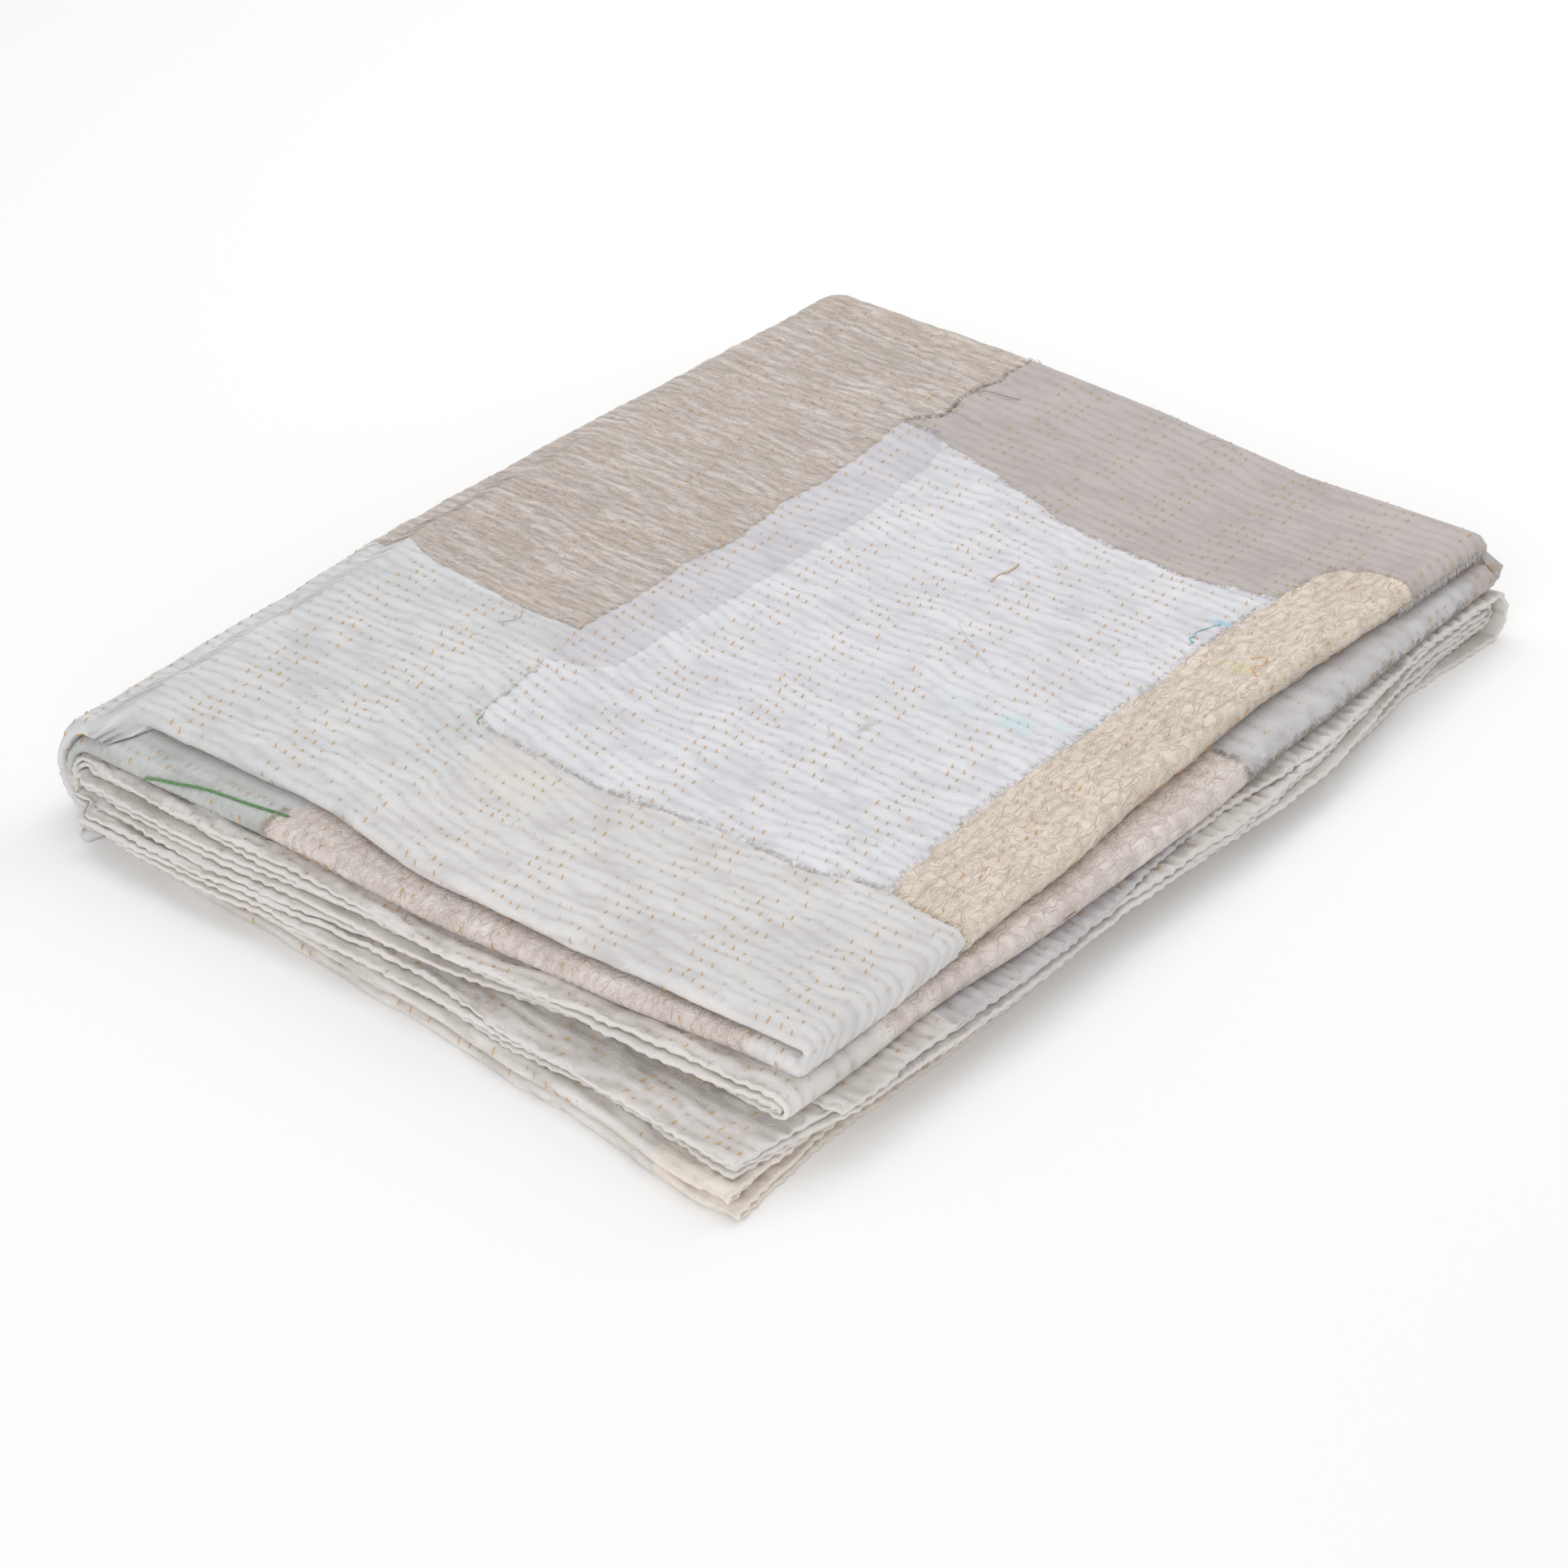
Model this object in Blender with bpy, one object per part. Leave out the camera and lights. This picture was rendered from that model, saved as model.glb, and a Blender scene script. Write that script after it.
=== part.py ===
# Kantha quilt, folded in half four times, each time across the fold before.
# Metres, +Z up. The origin is on the floor in the middle of the folded quilt.
# +X is a short side's direction, +Y a long side's.
#
# The quilt is one flat sheet. Four folds in turn lay it back under itself, so the
# sheet ends as sixteen layers, and each fold turns all the layers made before it.
# The finished stack then leans, bulges and sags a little, as cloth does.
import math

import bmesh
import bpy
import numpy as np

# The sheet
SHEET = 0.0028  # thickness of the quilted cloth
PITCH = 0.0036  # from one layer to the next
LAYERS = 16
GAP = PITCH - SHEET

# Where each fold turns the layers under, in the order they are made:
# name, axis (0 x, 1 y), side, line, sheet taken up by the turn, bulge, steps
FOLDS = (
    ("first", 1, -1, -0.277, 0.011, 1.30, 4),
    ("second", 0, 1, 0.208, 0.018, 0.90, 4),
    ("third", 1, 1, 0.281, 0.034, 0.86, 5),
    ("fourth", 0, -1, -0.212, 0.060, 0.80, 7),
)
# Where the quilt's own hemmed edges come to lie, on the sides away from the folds
HEM_X = 0.214
HEM_Y = -0.282
STEPS = 6  # steps across one face of the folded quilt

# The bands seen on the front, by their lowest layer's number from the floor:
# layers below, height they take up at the front in layers
BANDS = ((0.0, 0.0), (4.0, 3.7), (8.0, 6.9), (12.0, 10.6), (14.0, 13.4), (16.0, 16.1))

# How far each band reaches at the front:
# layers below it, then y at x = -0.2, -0.1, 0, 0.1 and 0.2
FRONT_AT = (-0.2, -0.1, 0.0, 0.1, 0.2)
FRONT = (
    (0.0, -0.286, -0.296, -0.304, -0.315, -0.329),
    (4.0, -0.295, -0.297, -0.300, -0.309, -0.317),
    (8.0, -0.285, -0.290, -0.291, -0.287, -0.286),
    (12.0, -0.281, -0.281, -0.285, -0.282, -0.277),
    (14.0, -0.257, -0.257, -0.271, -0.272, -0.272),
)
# How far each band reaches at the right:
# layers below it, then x at y = -0.31, -0.2, -0.1, 0, 0.1 and 0.25
RIGHT_AT = (-0.31, -0.2, -0.1, 0.0, 0.1, 0.25)
RIGHT = (
    (0.0, 0.214, 0.207, 0.206, 0.203, 0.210, 0.206),
    (4.0, 0.206, 0.219, 0.221, 0.219, 0.220, 0.206),
    (8.0, 0.209, 0.211, 0.217, 0.218, 0.214, 0.209),
    (12.0, 0.208, 0.209, 0.206, 0.199, 0.195, 0.199),
)
# How far the turned layers bulge at the left and at the back
LEFT_AT = (-0.28, -0.13, -0.05, 0.08, 0.25)
LEFT = (-0.239, -0.240, -0.245, -0.245, -0.237)
BACK_AT = (-0.2, -0.1, 0.0, 0.1, 0.2)
BACK = (0.299, 0.297, 0.294, 0.285, 0.288)

BAND_STEP = 0.11  # a little under half the gap between two layers, in layers

# Quilting: rows of running stitch draw the cloth into ridges across the top
RIDGES = 70
RIDGE_HEIGHT = 0.0012
RIDGE_COLUMNS = 9
RIDGE_EDGE = 0.008  # plain cloth left round the ridges

# The hems aren't cut or folded quite true: side, waves along it, size of each
HEMS = (
    ("x low", ((13.0, 0.4, 0.0030), (31.0, 1.9, 0.0018))),
    ("x high", ((11.0, 2.2, 0.0032), (27.0, 0.3, 0.0020))),
    ("y low", ((12.0, 1.3, 0.0034), (29.0, 2.6, 0.0018))),
    ("y high", ((14.0, 3.0, 0.0030), (33.0, 0.8, 0.0016))),
)

# The layer of the inner corner at the front right that lies back from the others
TUCK = 0.050

CLOTH_COLOUR = (0.70, 0.69, 0.67, 1.0)
CLOTH_ROUGHNESS = 0.9


def smooth(a, low, high):
    """0 at low, 1 at high and a soft step between them."""
    t = np.clip((a - low) / (high - low), 0.0, 1.0)
    return t * t * (3.0 - 2.0 * t)


def table(rows, at, layer, along):
    """A band's value along its length; it changes only in the gaps between bands."""
    rows = np.array(rows)
    places = np.clip(np.interp(along, at, np.arange(len(at))), 0.0, len(at) - 1.001)
    k = places.astype(int)
    f = places - k
    f = f * f * (3.0 - 2.0 * f)
    value = 0.0
    for n, row in enumerate(rows):
        here = row[1:][k] * (1.0 - f) + row[1:][k + 1] * f
        step = 1.0 if n == 0 else smooth(layer, row[0] - BAND_STEP, row[0] + BAND_STEP)
        value = value * (1.0 - step) + here * step
    return value


def fold(points):
    """Turn the flat sheet's points under, one fold after another."""
    p = points.copy()
    low, high = -PITCH / 2.0, PITCH / 2.0
    for _, axis, side, line, taken, bulge, _ in FOLDS:
        a, z = side * p[:, axis], p[:, 2].copy()
        start, centre = side * line, low
        turn = np.clip((a - start) / taken, 0.0, 1.0) * math.pi
        radius = z - centre
        past = np.maximum(a - start - taken, 0.0)
        moved = np.minimum(a, start) + bulge * radius * np.sin(turn) - past
        p[:, axis] = side * moved
        p[:, 2] = centre + radius * np.cos(turn)
        low = 2.0 * centre - high
    p[:, 2] += LAYERS * PITCH - PITCH / 2.0 - GAP / 2.0
    return p


def settle(points):
    """Let the even stack lean and bulge as the real one does, layer over layer."""
    x, y, z = points.T
    out = points.copy()
    layer = z / PITCH
    even, front = (np.array(c) for c in zip(*BANDS))
    near = smooth(-y, 0.16, 0.27)
    out[:, 2] += near * (np.interp(layer, even, front) - layer) * PITCH
    # in the rolled left side the layers are on edge, so they reach alike
    rolled = smooth(-x, 0.190, 0.222)
    band = layer + GAP / PITCH / 2.0
    front_layer = band + rolled * (13.0 - band)
    reach = table(FRONT, FRONT_AT, front_layer, x)
    out[:, 1] += smooth(-y, -0.20, 0.282) * (reach - HEM_Y)
    out[:, 1] += smooth(y, 0.0, 0.281) * (np.interp(x, BACK_AT, BACK) - 0.2935)
    out[:, 0] += smooth(x, -0.05, 0.208) * (table(RIGHT, RIGHT_AT, band, y) - HEM_X)
    out[:, 0] += smooth(-x, 0.0, 0.212) * (np.interp(y, LEFT_AT, LEFT) + 0.236)
    # the stack rises and dips a little, and is flat on the floor
    wave = (
        0.020 * np.sin(9.0 * x + 5.0 * y + 0.6)
        + 0.016 * np.sin(14.0 * y - 7.0 * x + 2.1)
        + 0.010 * np.sin(21.0 * x + 11.0 * y)
    )
    out[:, 2] *= 1.0 + wave * smooth(out[:, 2], 0.002, 0.05)
    return out


def even_lines(start, stop, steps):
    """Places from start to stop, without the first."""
    return [start + (stop - start) * k / steps for k in range(1, steps + 1)]


def sheet_lines(axis, hem):
    """The sheet's lines along one axis: cells and turns, and how each cell lies."""
    inner = [f for f in FOLDS if f[1] == axis]
    first, second = inner
    side = first[2]
    a, b = second[3], first[3]
    width = abs(b - a)
    reach = abs(hem - a)
    cell = even_lines(0.0, width, STEPS)
    last = [c for c in cell[:-1] if c < reach - 0.02] + [reach]
    lines = [0.0] + cell
    at = {"top": (0, len(cell))}
    end = width
    lines += even_lines(end, end + first[4], first[6])
    end += first[4]
    lines += [end + c for c in cell]
    end += width
    lines += even_lines(end, end + second[4], second[6])
    end += second[4]
    lines += [end + c for c in last]
    before = [-c for c in even_lines(0.0, second[4], second[6])]
    before += [-second[4] - c for c in last]
    lines = before[::-1] + lines
    start = len(before)
    at = (start, start + len(cell))
    # out along the first fold's side from the second fold's line
    return np.array([a + side * c for c in lines]), at


def mirrored(lines, axis):
    """Whether each step of the sheet ends up turned round along the axis."""
    first, second = [f for f in FOLDS if f[1] == axis]
    mid = (lines[:-1] + lines[1:]) / 2.0
    flip = np.zeros(len(mid), bool)
    s, line, taken = first[2], first[3], first[4]
    past = s * mid > s * line + taken / 2.0
    flip ^= past
    folded = np.where(past, 2.0 * line + s * taken - mid, mid)
    s, line, taken = second[2], second[3], second[4]
    return flip ^ (s * folded > s * line + taken / 2.0)


def zip_lines(outer, inner, places_out, places_in):
    """Triangles of the strip between two runs of points that go the same way."""
    faces, i, k = [], 0, 0
    while i < len(outer) - 1 or k < len(inner) - 1:
        step_out = k == len(inner) - 1 or (
            i < len(outer) - 1 and places_out[i + 1] <= places_in[k + 1]
        )
        if step_out:
            faces.append((outer[i], outer[i + 1], inner[k]))
            i += 1
        else:
            faces.append((outer[i], inner[k + 1], inner[k]))
            k += 1
    return faces


def hem_wave(side, along):
    """How far one hem of the sheet wanders in and out along its length."""
    waves = dict(HEMS)[side]
    return sum(size * np.sin(often * along + shift) for often, shift, size in waves)


def ridge_points(x0, x1, y0, y1):
    """The quilted patch of the top: rows of crests and valleys across the face."""
    across = np.linspace(x0, x1, RIDGE_COLUMNS + 1)
    along = np.linspace(y0, y1, 2 * RIDGES + 1)
    pitch = (y1 - y0) / RIDGES
    points = []
    for r, y in enumerate(along):
        edge_y = min(1.0, min(r, 2 * RIDGES - r) / 3.0)
        for c, x in enumerate(across):
            edge_x = 0.25 if c in (0, RIDGE_COLUMNS) else 1.0
            drift = 0.30 * pitch * math.sin(17.0 * x + 0.9 * math.sin(13.0 * y)) * edge_y
            swell = 0.75 + 0.25 * math.sin(31.0 * x + 23.0 * y) * math.cos(19.0 * y)
            up = RIDGE_HEIGHT * (0.5 if r % 2 else -0.5) * swell * edge_x * edge_y
            points.append((x, y + drift, SHEET / 2.0 + up))
    return points, across, along


def build_quilt():
    xs, (i0, i1) = sheet_lines(0, HEM_X)
    ys, (j0, j1) = sheet_lines(1, HEM_Y)
    order_x, order_y = np.argsort(xs), np.argsort(ys)
    xs, ys = xs[order_x], ys[order_y]
    i0, i1 = sorted((int(np.where(order_x == i0)[0][0]), int(np.where(order_x == i1)[0][0])))
    j0, j1 = sorted((int(np.where(order_y == j0)[0][0]), int(np.where(order_y == j1)[0][0])))
    nx, ny = len(xs), len(ys)
    flip = mirrored(xs, 0)[:, None] ^ mirrored(ys, 1)[None, :]

    # the corner of the ninth layer is drawn back along the hem
    grid_x, grid_y = np.meshgrid(xs, ys, indexing="ij")
    hem_end = smooth(xs[0] - grid_x, -0.32, 0.0)
    grid_y = grid_y - TUCK * hem_end * smooth(grid_y, ys[-1] - 0.45, ys[-1])
    grid_x[0] += hem_wave("x low", ys)
    grid_x[-1] += hem_wave("x high", ys)
    grid_y[:, 0] += hem_wave("y low", xs)
    grid_y[:, -1] += hem_wave("y high", xs)

    points, faces = [], []
    upper = np.full((nx, ny), -1)
    lower = np.full((nx, ny), -1)
    for i in range(nx):
        for j in range(ny):
            if not (i0 < i < i1 and j0 < j < j1):
                upper[i, j] = len(points)
                points.append((grid_x[i, j], grid_y[i, j], SHEET / 2.0))
            lower[i, j] = len(points)
            points.append((grid_x[i, j], grid_y[i, j], -SHEET / 2.0))

    def quad(a, b, c, d, other):
        if other:
            faces.extend(((a, b, d), (b, c, d)))
        else:
            faces.extend(((a, b, c), (a, c, d)))

    for i in range(nx - 1):
        for j in range(ny - 1):
            if not (i0 <= i < i1 and j0 <= j < j1):
                quad(upper[i, j], upper[i + 1, j], upper[i + 1, j + 1], upper[i, j + 1], flip[i, j])
            quad(lower[i, j], lower[i, j + 1], lower[i + 1, j + 1], lower[i + 1, j], flip[i, j])

    # the hems close the sheet all round
    for i in range(nx - 1):
        quad(lower[i, 0], lower[i + 1, 0], upper[i + 1, 0], upper[i, 0], False)
        quad(lower[i + 1, -1], lower[i, -1], upper[i, -1], upper[i + 1, -1], False)
    for j in range(ny - 1):
        quad(lower[0, j + 1], lower[0, j], upper[0, j], upper[0, j + 1], False)
        quad(lower[-1, j], lower[-1, j + 1], upper[-1, j + 1], upper[-1, j], False)

    # the ridged patch, and the plain strip round it
    patch, across, along = ridge_points(
        xs[i0] + RIDGE_EDGE, xs[i1] - RIDGE_EDGE, ys[j0] + RIDGE_EDGE, ys[j1] - RIDGE_EDGE
    )
    first = len(points)
    points.extend(patch)
    wide = RIDGE_COLUMNS + 1
    spot = np.arange(first, first + len(patch)).reshape(len(along), wide)
    for r in range(len(along) - 1):
        for c in range(wide - 1):
            quad(spot[r, c], spot[r, c + 1], spot[r + 1, c + 1], spot[r + 1, c], False)
    columns, rows = list(xs[i0 : i1 + 1]), list(ys[j0 : j1 + 1])

    def spread(values):
        low, high = min(values[0], values[-1]), max(values[0], values[-1])
        return [abs(v - values[0]) / (high - low) for v in values]

    sides = (
        (list(upper[i0 : i1 + 1, j0]), list(spot[0]), columns, list(across)),
        (list(upper[i1, j0 : j1 + 1]), list(spot[:, -1]), rows, list(along)),
        (list(upper[i0 : i1 + 1, j1])[::-1], list(spot[-1])[::-1], columns[::-1], list(across)[::-1]),
        (list(upper[i0, j0 : j1 + 1])[::-1], list(spot[:, 0])[::-1], rows[::-1], list(along)[::-1]),
    )
    for outer, inner, places_out, places_in in sides:
        faces.extend(zip_lines(outer, inner, spread(places_out), spread(places_in)))

    placed = settle(fold(np.array(points)))
    placed[:, 2] -= placed[:, 2].min()
    placed[:, :2] -= (placed[:, :2].min(axis=0) + placed[:, :2].max(axis=0)) / 2.0
    mesh = bpy.data.meshes.new("quilt")
    mesh.from_pydata([tuple(map(float, p)) for p in placed], [], [tuple(map(int, f)) for f in faces])
    mesh.update()
    work = bmesh.new()
    work.from_mesh(mesh)
    bmesh.ops.recalc_face_normals(work, faces=work.faces)
    work.to_mesh(mesh)
    work.free()
    mesh.shade_smooth()
    mesh.set_sharp_from_angle(angle=math.radians(50))
    return mesh


def cloth_material():
    material = bpy.data.materials.new("undyed_cotton")
    material.use_nodes = True
    shader = material.node_tree.nodes["Principled BSDF"]
    shader.inputs["Base Color"].default_value = CLOTH_COLOUR
    shader.inputs["Roughness"].default_value = CLOTH_ROUGHNESS
    shader.inputs["Metallic"].default_value = 0.0
    return material


for thing in list(bpy.data.objects):
    bpy.data.objects.remove(thing, do_unlink=True)

quilt = bpy.data.objects.new("quilt", build_quilt())
quilt.data.materials.append(cloth_material())
bpy.context.scene.collection.objects.link(quilt)
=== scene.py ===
import math

import bmesh
import bpy
import numpy as np
from bpy.props import FloatProperty, FloatVectorProperty, PointerProperty
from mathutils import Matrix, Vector
from mathutils.geometry import delaunay_2d_cdt


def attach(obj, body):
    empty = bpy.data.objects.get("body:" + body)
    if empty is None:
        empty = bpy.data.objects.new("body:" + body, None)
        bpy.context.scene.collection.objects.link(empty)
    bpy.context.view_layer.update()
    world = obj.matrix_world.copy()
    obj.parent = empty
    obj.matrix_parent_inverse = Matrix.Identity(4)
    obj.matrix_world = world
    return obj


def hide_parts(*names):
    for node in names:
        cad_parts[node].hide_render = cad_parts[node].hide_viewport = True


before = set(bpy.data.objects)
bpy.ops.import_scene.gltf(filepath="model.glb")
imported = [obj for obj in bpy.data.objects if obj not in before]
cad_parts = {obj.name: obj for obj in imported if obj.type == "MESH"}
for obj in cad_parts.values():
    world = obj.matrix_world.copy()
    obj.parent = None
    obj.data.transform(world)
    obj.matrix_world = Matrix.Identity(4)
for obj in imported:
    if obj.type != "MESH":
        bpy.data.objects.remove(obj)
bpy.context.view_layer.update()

bl_info = {
    "name": "Folded kantha quilt",
    "version": (1, 0, 0),
    "blender": (4, 5, 0),
    "location": "3D View > Sidebar > Quilt",
    "description": "A patched, hand-quilted cotton and silk quilt, folded in a stack",
    "category": "Object",
}

# The quilt is drawn flat, as u across and v along, in metres, with t through its thickness.
# It is then folded in half four times and left to settle, as its solid is.
SHEET = 0.0028  # thickness of the quilted cloth
PITCH = 0.0036  # from one layer of the stack to the next
LAYERS = 16
GAP = PITCH - SHEET
U0, U1 = -0.698, 1.132
V0, V1 = -1.443, 0.878
MIDDLE = (-0.00904, -0.01510)  # of the settled stack, which then stands over the origin

# The four folds: axis, side, line, cloth taken up by the turn, bulge.
FOLDS = (
    (1, -1, -0.277, 0.011, 1.30),
    (0, 1, 0.208, 0.018, 0.90),
    (1, 1, 0.281, 0.034, 0.86),
    (0, -1, -0.212, 0.060, 0.80),
)
# How far the even stack reaches to the right, front, back and left, before it settles.
HEM_X = 0.214
HEM_Y = -0.282
EVEN_BACK = 0.2935
EVEN_LEFT = -0.236

# Some layers lie closer than others at the front: an even layer's number, and where it lies there.
BANDS = ((0.0, 0.0), (4.0, 3.7), (8.0, 6.9), (12.0, 10.6), (14.0, 13.4), (16.0, 16.1))
# How far each band of layers reaches, at places along the side; each row starts with its lowest layer.
FRONT_AT = (-0.2, -0.1, 0.0, 0.1, 0.2)
FRONT = (
    (0.0, -0.286, -0.296, -0.304, -0.315, -0.329),
    (4.0, -0.295, -0.297, -0.300, -0.309, -0.317),
    (8.0, -0.285, -0.290, -0.291, -0.287, -0.286),
    (12.0, -0.281, -0.281, -0.285, -0.282, -0.277),
    (14.0, -0.257, -0.257, -0.271, -0.272, -0.272),
)
RIGHT_AT = (-0.31, -0.2, -0.1, 0.0, 0.1, 0.25)
RIGHT = (
    (0.0, 0.214, 0.207, 0.206, 0.203, 0.210, 0.206),
    (4.0, 0.206, 0.219, 0.221, 0.219, 0.220, 0.206),
    (8.0, 0.209, 0.211, 0.217, 0.218, 0.214, 0.209),
    (12.0, 0.208, 0.209, 0.206, 0.199, 0.195, 0.199),
)
LEFT_AT = (-0.28, -0.13, -0.05, 0.08, 0.25)
LEFT = (-0.239, -0.240, -0.245, -0.245, -0.237)
BACK_AT = (-0.2, -0.1, 0.0, 0.1, 0.2)
BACK = (0.299, 0.297, 0.294, 0.285, 0.288)
BAND_STEP = 0.11  # share of a layer over which one band's reach turns into the next one's

ROW_SPACING = 0.0065  # from one row of running stitch to the next
ROW_LEAN = 0.05  # how far the rows lean across the cloth, in metres a metre
HEM_STITCH = 0.0084  # from one stitch of the hems to the next
UV_SHIFT = (1.0, 1.5)  # keeps the flat cloth's places above zero in its UV map

# How each hem wanders along its length: radians a metre, shift, size.
HEMS = {
    "u low": ((13.0, 0.4, 0.0030), (31.0, 1.9, 0.0018)),
    "u high": ((11.0, 2.2, 0.0032), (27.0, 0.3, 0.0020)),
    "v low": ((12.0, 1.3, 0.0034), (29.0, 2.6, 0.0018)),
    "v high": ((14.0, 3.0, 0.0030), (33.0, 0.8, 0.0016)),
}
TUCK = 0.050  # how far one corner of the flat cloth is drawn back

# Where the patches of the top meet, in millimetres on the stack's top.
# A line may start or end past a fold, and those ends are millimetres on the flat cloth.
SEAMS = {
    # name: (flat start, points on the top, flat end, edge that lies on top, how torn)
    "tan_left": ([(-300, -72)], [(-220, -70), (-196, -66), (-156, -72), (-121, -75), (-90, -73)], [],
                 -1, 0.7),
    "tan_white": ([], [(-90, -73), (-88, -23), (-91, 6), (-88, 46), (-93, 87), (-91, 126), (-98, 194)], [],
                  -1, 0.5),
    "tan_grey": ([], [(-98, 194), (-84, 210), (-88, 230), (-87, 246), (-83, 259)], [], -1, 1.0),
    "tan_strip": ([], [(-83, 259), (-106, 257), (-138, 264), (-173, 266)], [(-300, 262)], -1, 0.4),
    "strip_grey": ([], [(-83, 259), (-86, 272)], [(-78, 335)], -1, 0.8),
    "grey_gauze": ([], [(-98, 194), (-79, 196), (-68, 187)], [], 1, 0.6),
    "grey_white": ([], [(-68, 187), (-20, 173), (33, 156), (76, 152), (122, 154), (154, 162)], [], 1, 1.0),
    "grey_cream": ([], [(154, 162), (157, 186), (160, 203), (175, 213), (200, 210)], [(250, 214)], -1, 0.8),
    "gauze_left": ([], [(-90, -73), (-84, -104)], [], 1, 0.4),
    "white_left": ([], [(-84, -104), (-77, -137), (-78, -160), (-57, -168)], [], 1, 0.7),
    "gauze_white": ([], [(-68, 187), (-59, 163), (-52, 108), (-50, 33), (-55, -92), (-84, -104)], [], 0, 0.5),
    "white_cream": ([], [(154, 162), (153, 111), (155, 56), (155, 1), (155, -49), (156, -86), (161, -138),
                         (165, -160)], [], 1, 0.6),
    "white_front": ([], [(-57, -168), (-29, -171), (23, -173), (70, -167), (119, -171), (165, -160)], [],
                    -1, 1.0),
    "left_front": ([], [(-57, -168), (-52, -210), (-55, -236), (-59, -253)], [(-60, -310)], -1, 0.5),
    "cream_end": ([], [(165, -160), (186, -163), (198, -165)], [(250, -168)], -1, 0.6),
}
# Each patch's outline, seam by seam; -1 runs a seam backwards, and pairs are corners past the folds.
PATCHES = (
    ("silk_tan", (("tan_left", 1), ("tan_white", 1), ("tan_grey", 1), ("tan_strip", 1))),
    ("silk_strip", (("tan_strip", -1), ("strip_grey", 1), (-300, 335))),
    ("cotton_grey", (("strip_grey", -1), ("tan_grey", -1), ("grey_gauze", 1), ("grey_white", 1),
                     ("grey_cream", 1), (250, 335))),
    ("muslin", (("gauze_left", -1), ("tan_white", 1), ("grey_gauze", 1), ("gauze_white", 1))),
    ("cotton_white", (("gauze_white", -1), ("grey_white", 1), ("white_cream", 1), ("white_front", -1),
                      ("white_left", -1))),
    ("silk_cream", (("grey_cream", -1), ("white_cream", 1), ("cream_end", 1))),
    ("cotton_offwhite", (("tan_left", 1), ("gauze_left", 1), ("white_left", 1), ("left_front", 1),
                         (-300, -310))),
    ("cotton_warm", (("left_front", -1), ("white_front", 1), ("cream_end", 1), (250, -310))),
)
# Patches of the other layers, as boxes on the flat cloth in millimetres: u, v, u, v.
ZONES = (
    ("cotton_worn", (-720, -1460, 1140, -330)),
    ("cotton_worn", (-720, 330, 1140, 900)),
    ("cotton_worn", (-720, -330, -300, 330)),
    ("cotton_worn", (300, -330, 1140, 330)),
    ("silk_pink", (212, -580, 533, -100)),
    ("cotton_mint", (533, -580, 680, -100)),
    ("silk_pink", (40, 549, 420, 812)),
    ("cotton_lilac", (40, 315, 420, 549)),
    ("cotton_lilac", (-720, 600, -520, 800)),
    ("cotton_cream", (1085, -480, 1140, -120)),
    ("cotton_cream", (-720, -480, -650, -120)),
)
# Each cloth's depth of quilting, depth of crumples, how far its ridges stray, how far its crumples
# turn from lying across the quilt to lying along it, and how narrow its ridges are.
DEPTH = {
    "silk_tan": (0.80, 0.75, 1.25, 0.0, 1.7), "silk_strip": (0.65, 0.80, 1.25, 0.0, 1.7),
    "silk_cream": (0.16, 1.60, 1.30, 1.0, 1.0), "silk_pink": (0.35, 1.00, 1.00, 0.6, 1.0),
    "cotton_grey": (0.06, 0.12, 0.90, 0.0, 0.8), "cotton_lilac": (0.60, 0.30, 0.90, 0.4, 0.8),
    "cotton_white": (0.85, 0.34, 0.85, 0.1, 0.8), "muslin": (0.68, 0.30, 0.85, 0.1, 0.8),
    "cotton_offwhite": (0.80, 0.32, 0.90, 0.1, 0.8), "cotton_warm": (0.68, 0.30, 0.85, 0.1, 0.8),
    "cotton_mint": (0.60, 0.30, 0.80, 0.1, 0.8), "cotton_cream": (0.85, 0.30, 0.80, 0.1, 0.8),
    "cotton_worn": (0.90, 0.35, 0.85, 0.1, 0.8),
}
# Where two ridges run into one: u, v, and which way.
FORKS = (
    (-0.150, -0.180, 1), (-0.110, -0.214, -1), (-0.020, -0.120, 1), (0.040, -0.090, -1),
    (0.110, -0.210, 1), (0.090, -0.030, -1), (0.020, 0.030, 1), (-0.030, 0.080, -1),
    (0.120, 0.060, 1), (0.060, 0.120, -1), (-0.160, 0.020, 1), (-0.190, 0.110, -1),
    (-0.130, 0.160, 1), (-0.170, 0.210, -1), (0.000, -0.230, -1), (-0.060, -0.020, 1),
)


def linear(colour):
    """A hex sRGB colour as linear red, green, blue and alpha."""
    parts = [int(colour[n : n + 2], 16) / 255.0 for n in (1, 3, 5)]
    return tuple(c / 12.92 if c <= 0.04045 else ((c + 0.055) / 1.055) ** 2.4 for c in parts) + (1.0,)


def smooth(a, low, high):
    """0 up to low, 1 from high, and an even change between them."""
    t = np.clip((a - low) / (high - low), 0.0, 1.0)
    return t * t * (3.0 - 2.0 * t)


def table(rows, at, layer, along):
    """A reach from the rows' tables: each row holds from its layer up."""
    places = np.clip(np.interp(along, at, np.arange(len(at))), 0.0, len(at) - 1.001)
    k = places.astype(int)
    f = smooth(places - k, 0.0, 1.0)
    value = 0.0
    for n, (start, *reach) in enumerate(rows):
        reach = np.array(reach)
        here = reach[k] * (1.0 - f) + reach[k + 1] * f
        step = 1.0 if n == 0 else smooth(layer, start - BAND_STEP, start + BAND_STEP)
        value = value * (1.0 - step) + here * step
    return value


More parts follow.
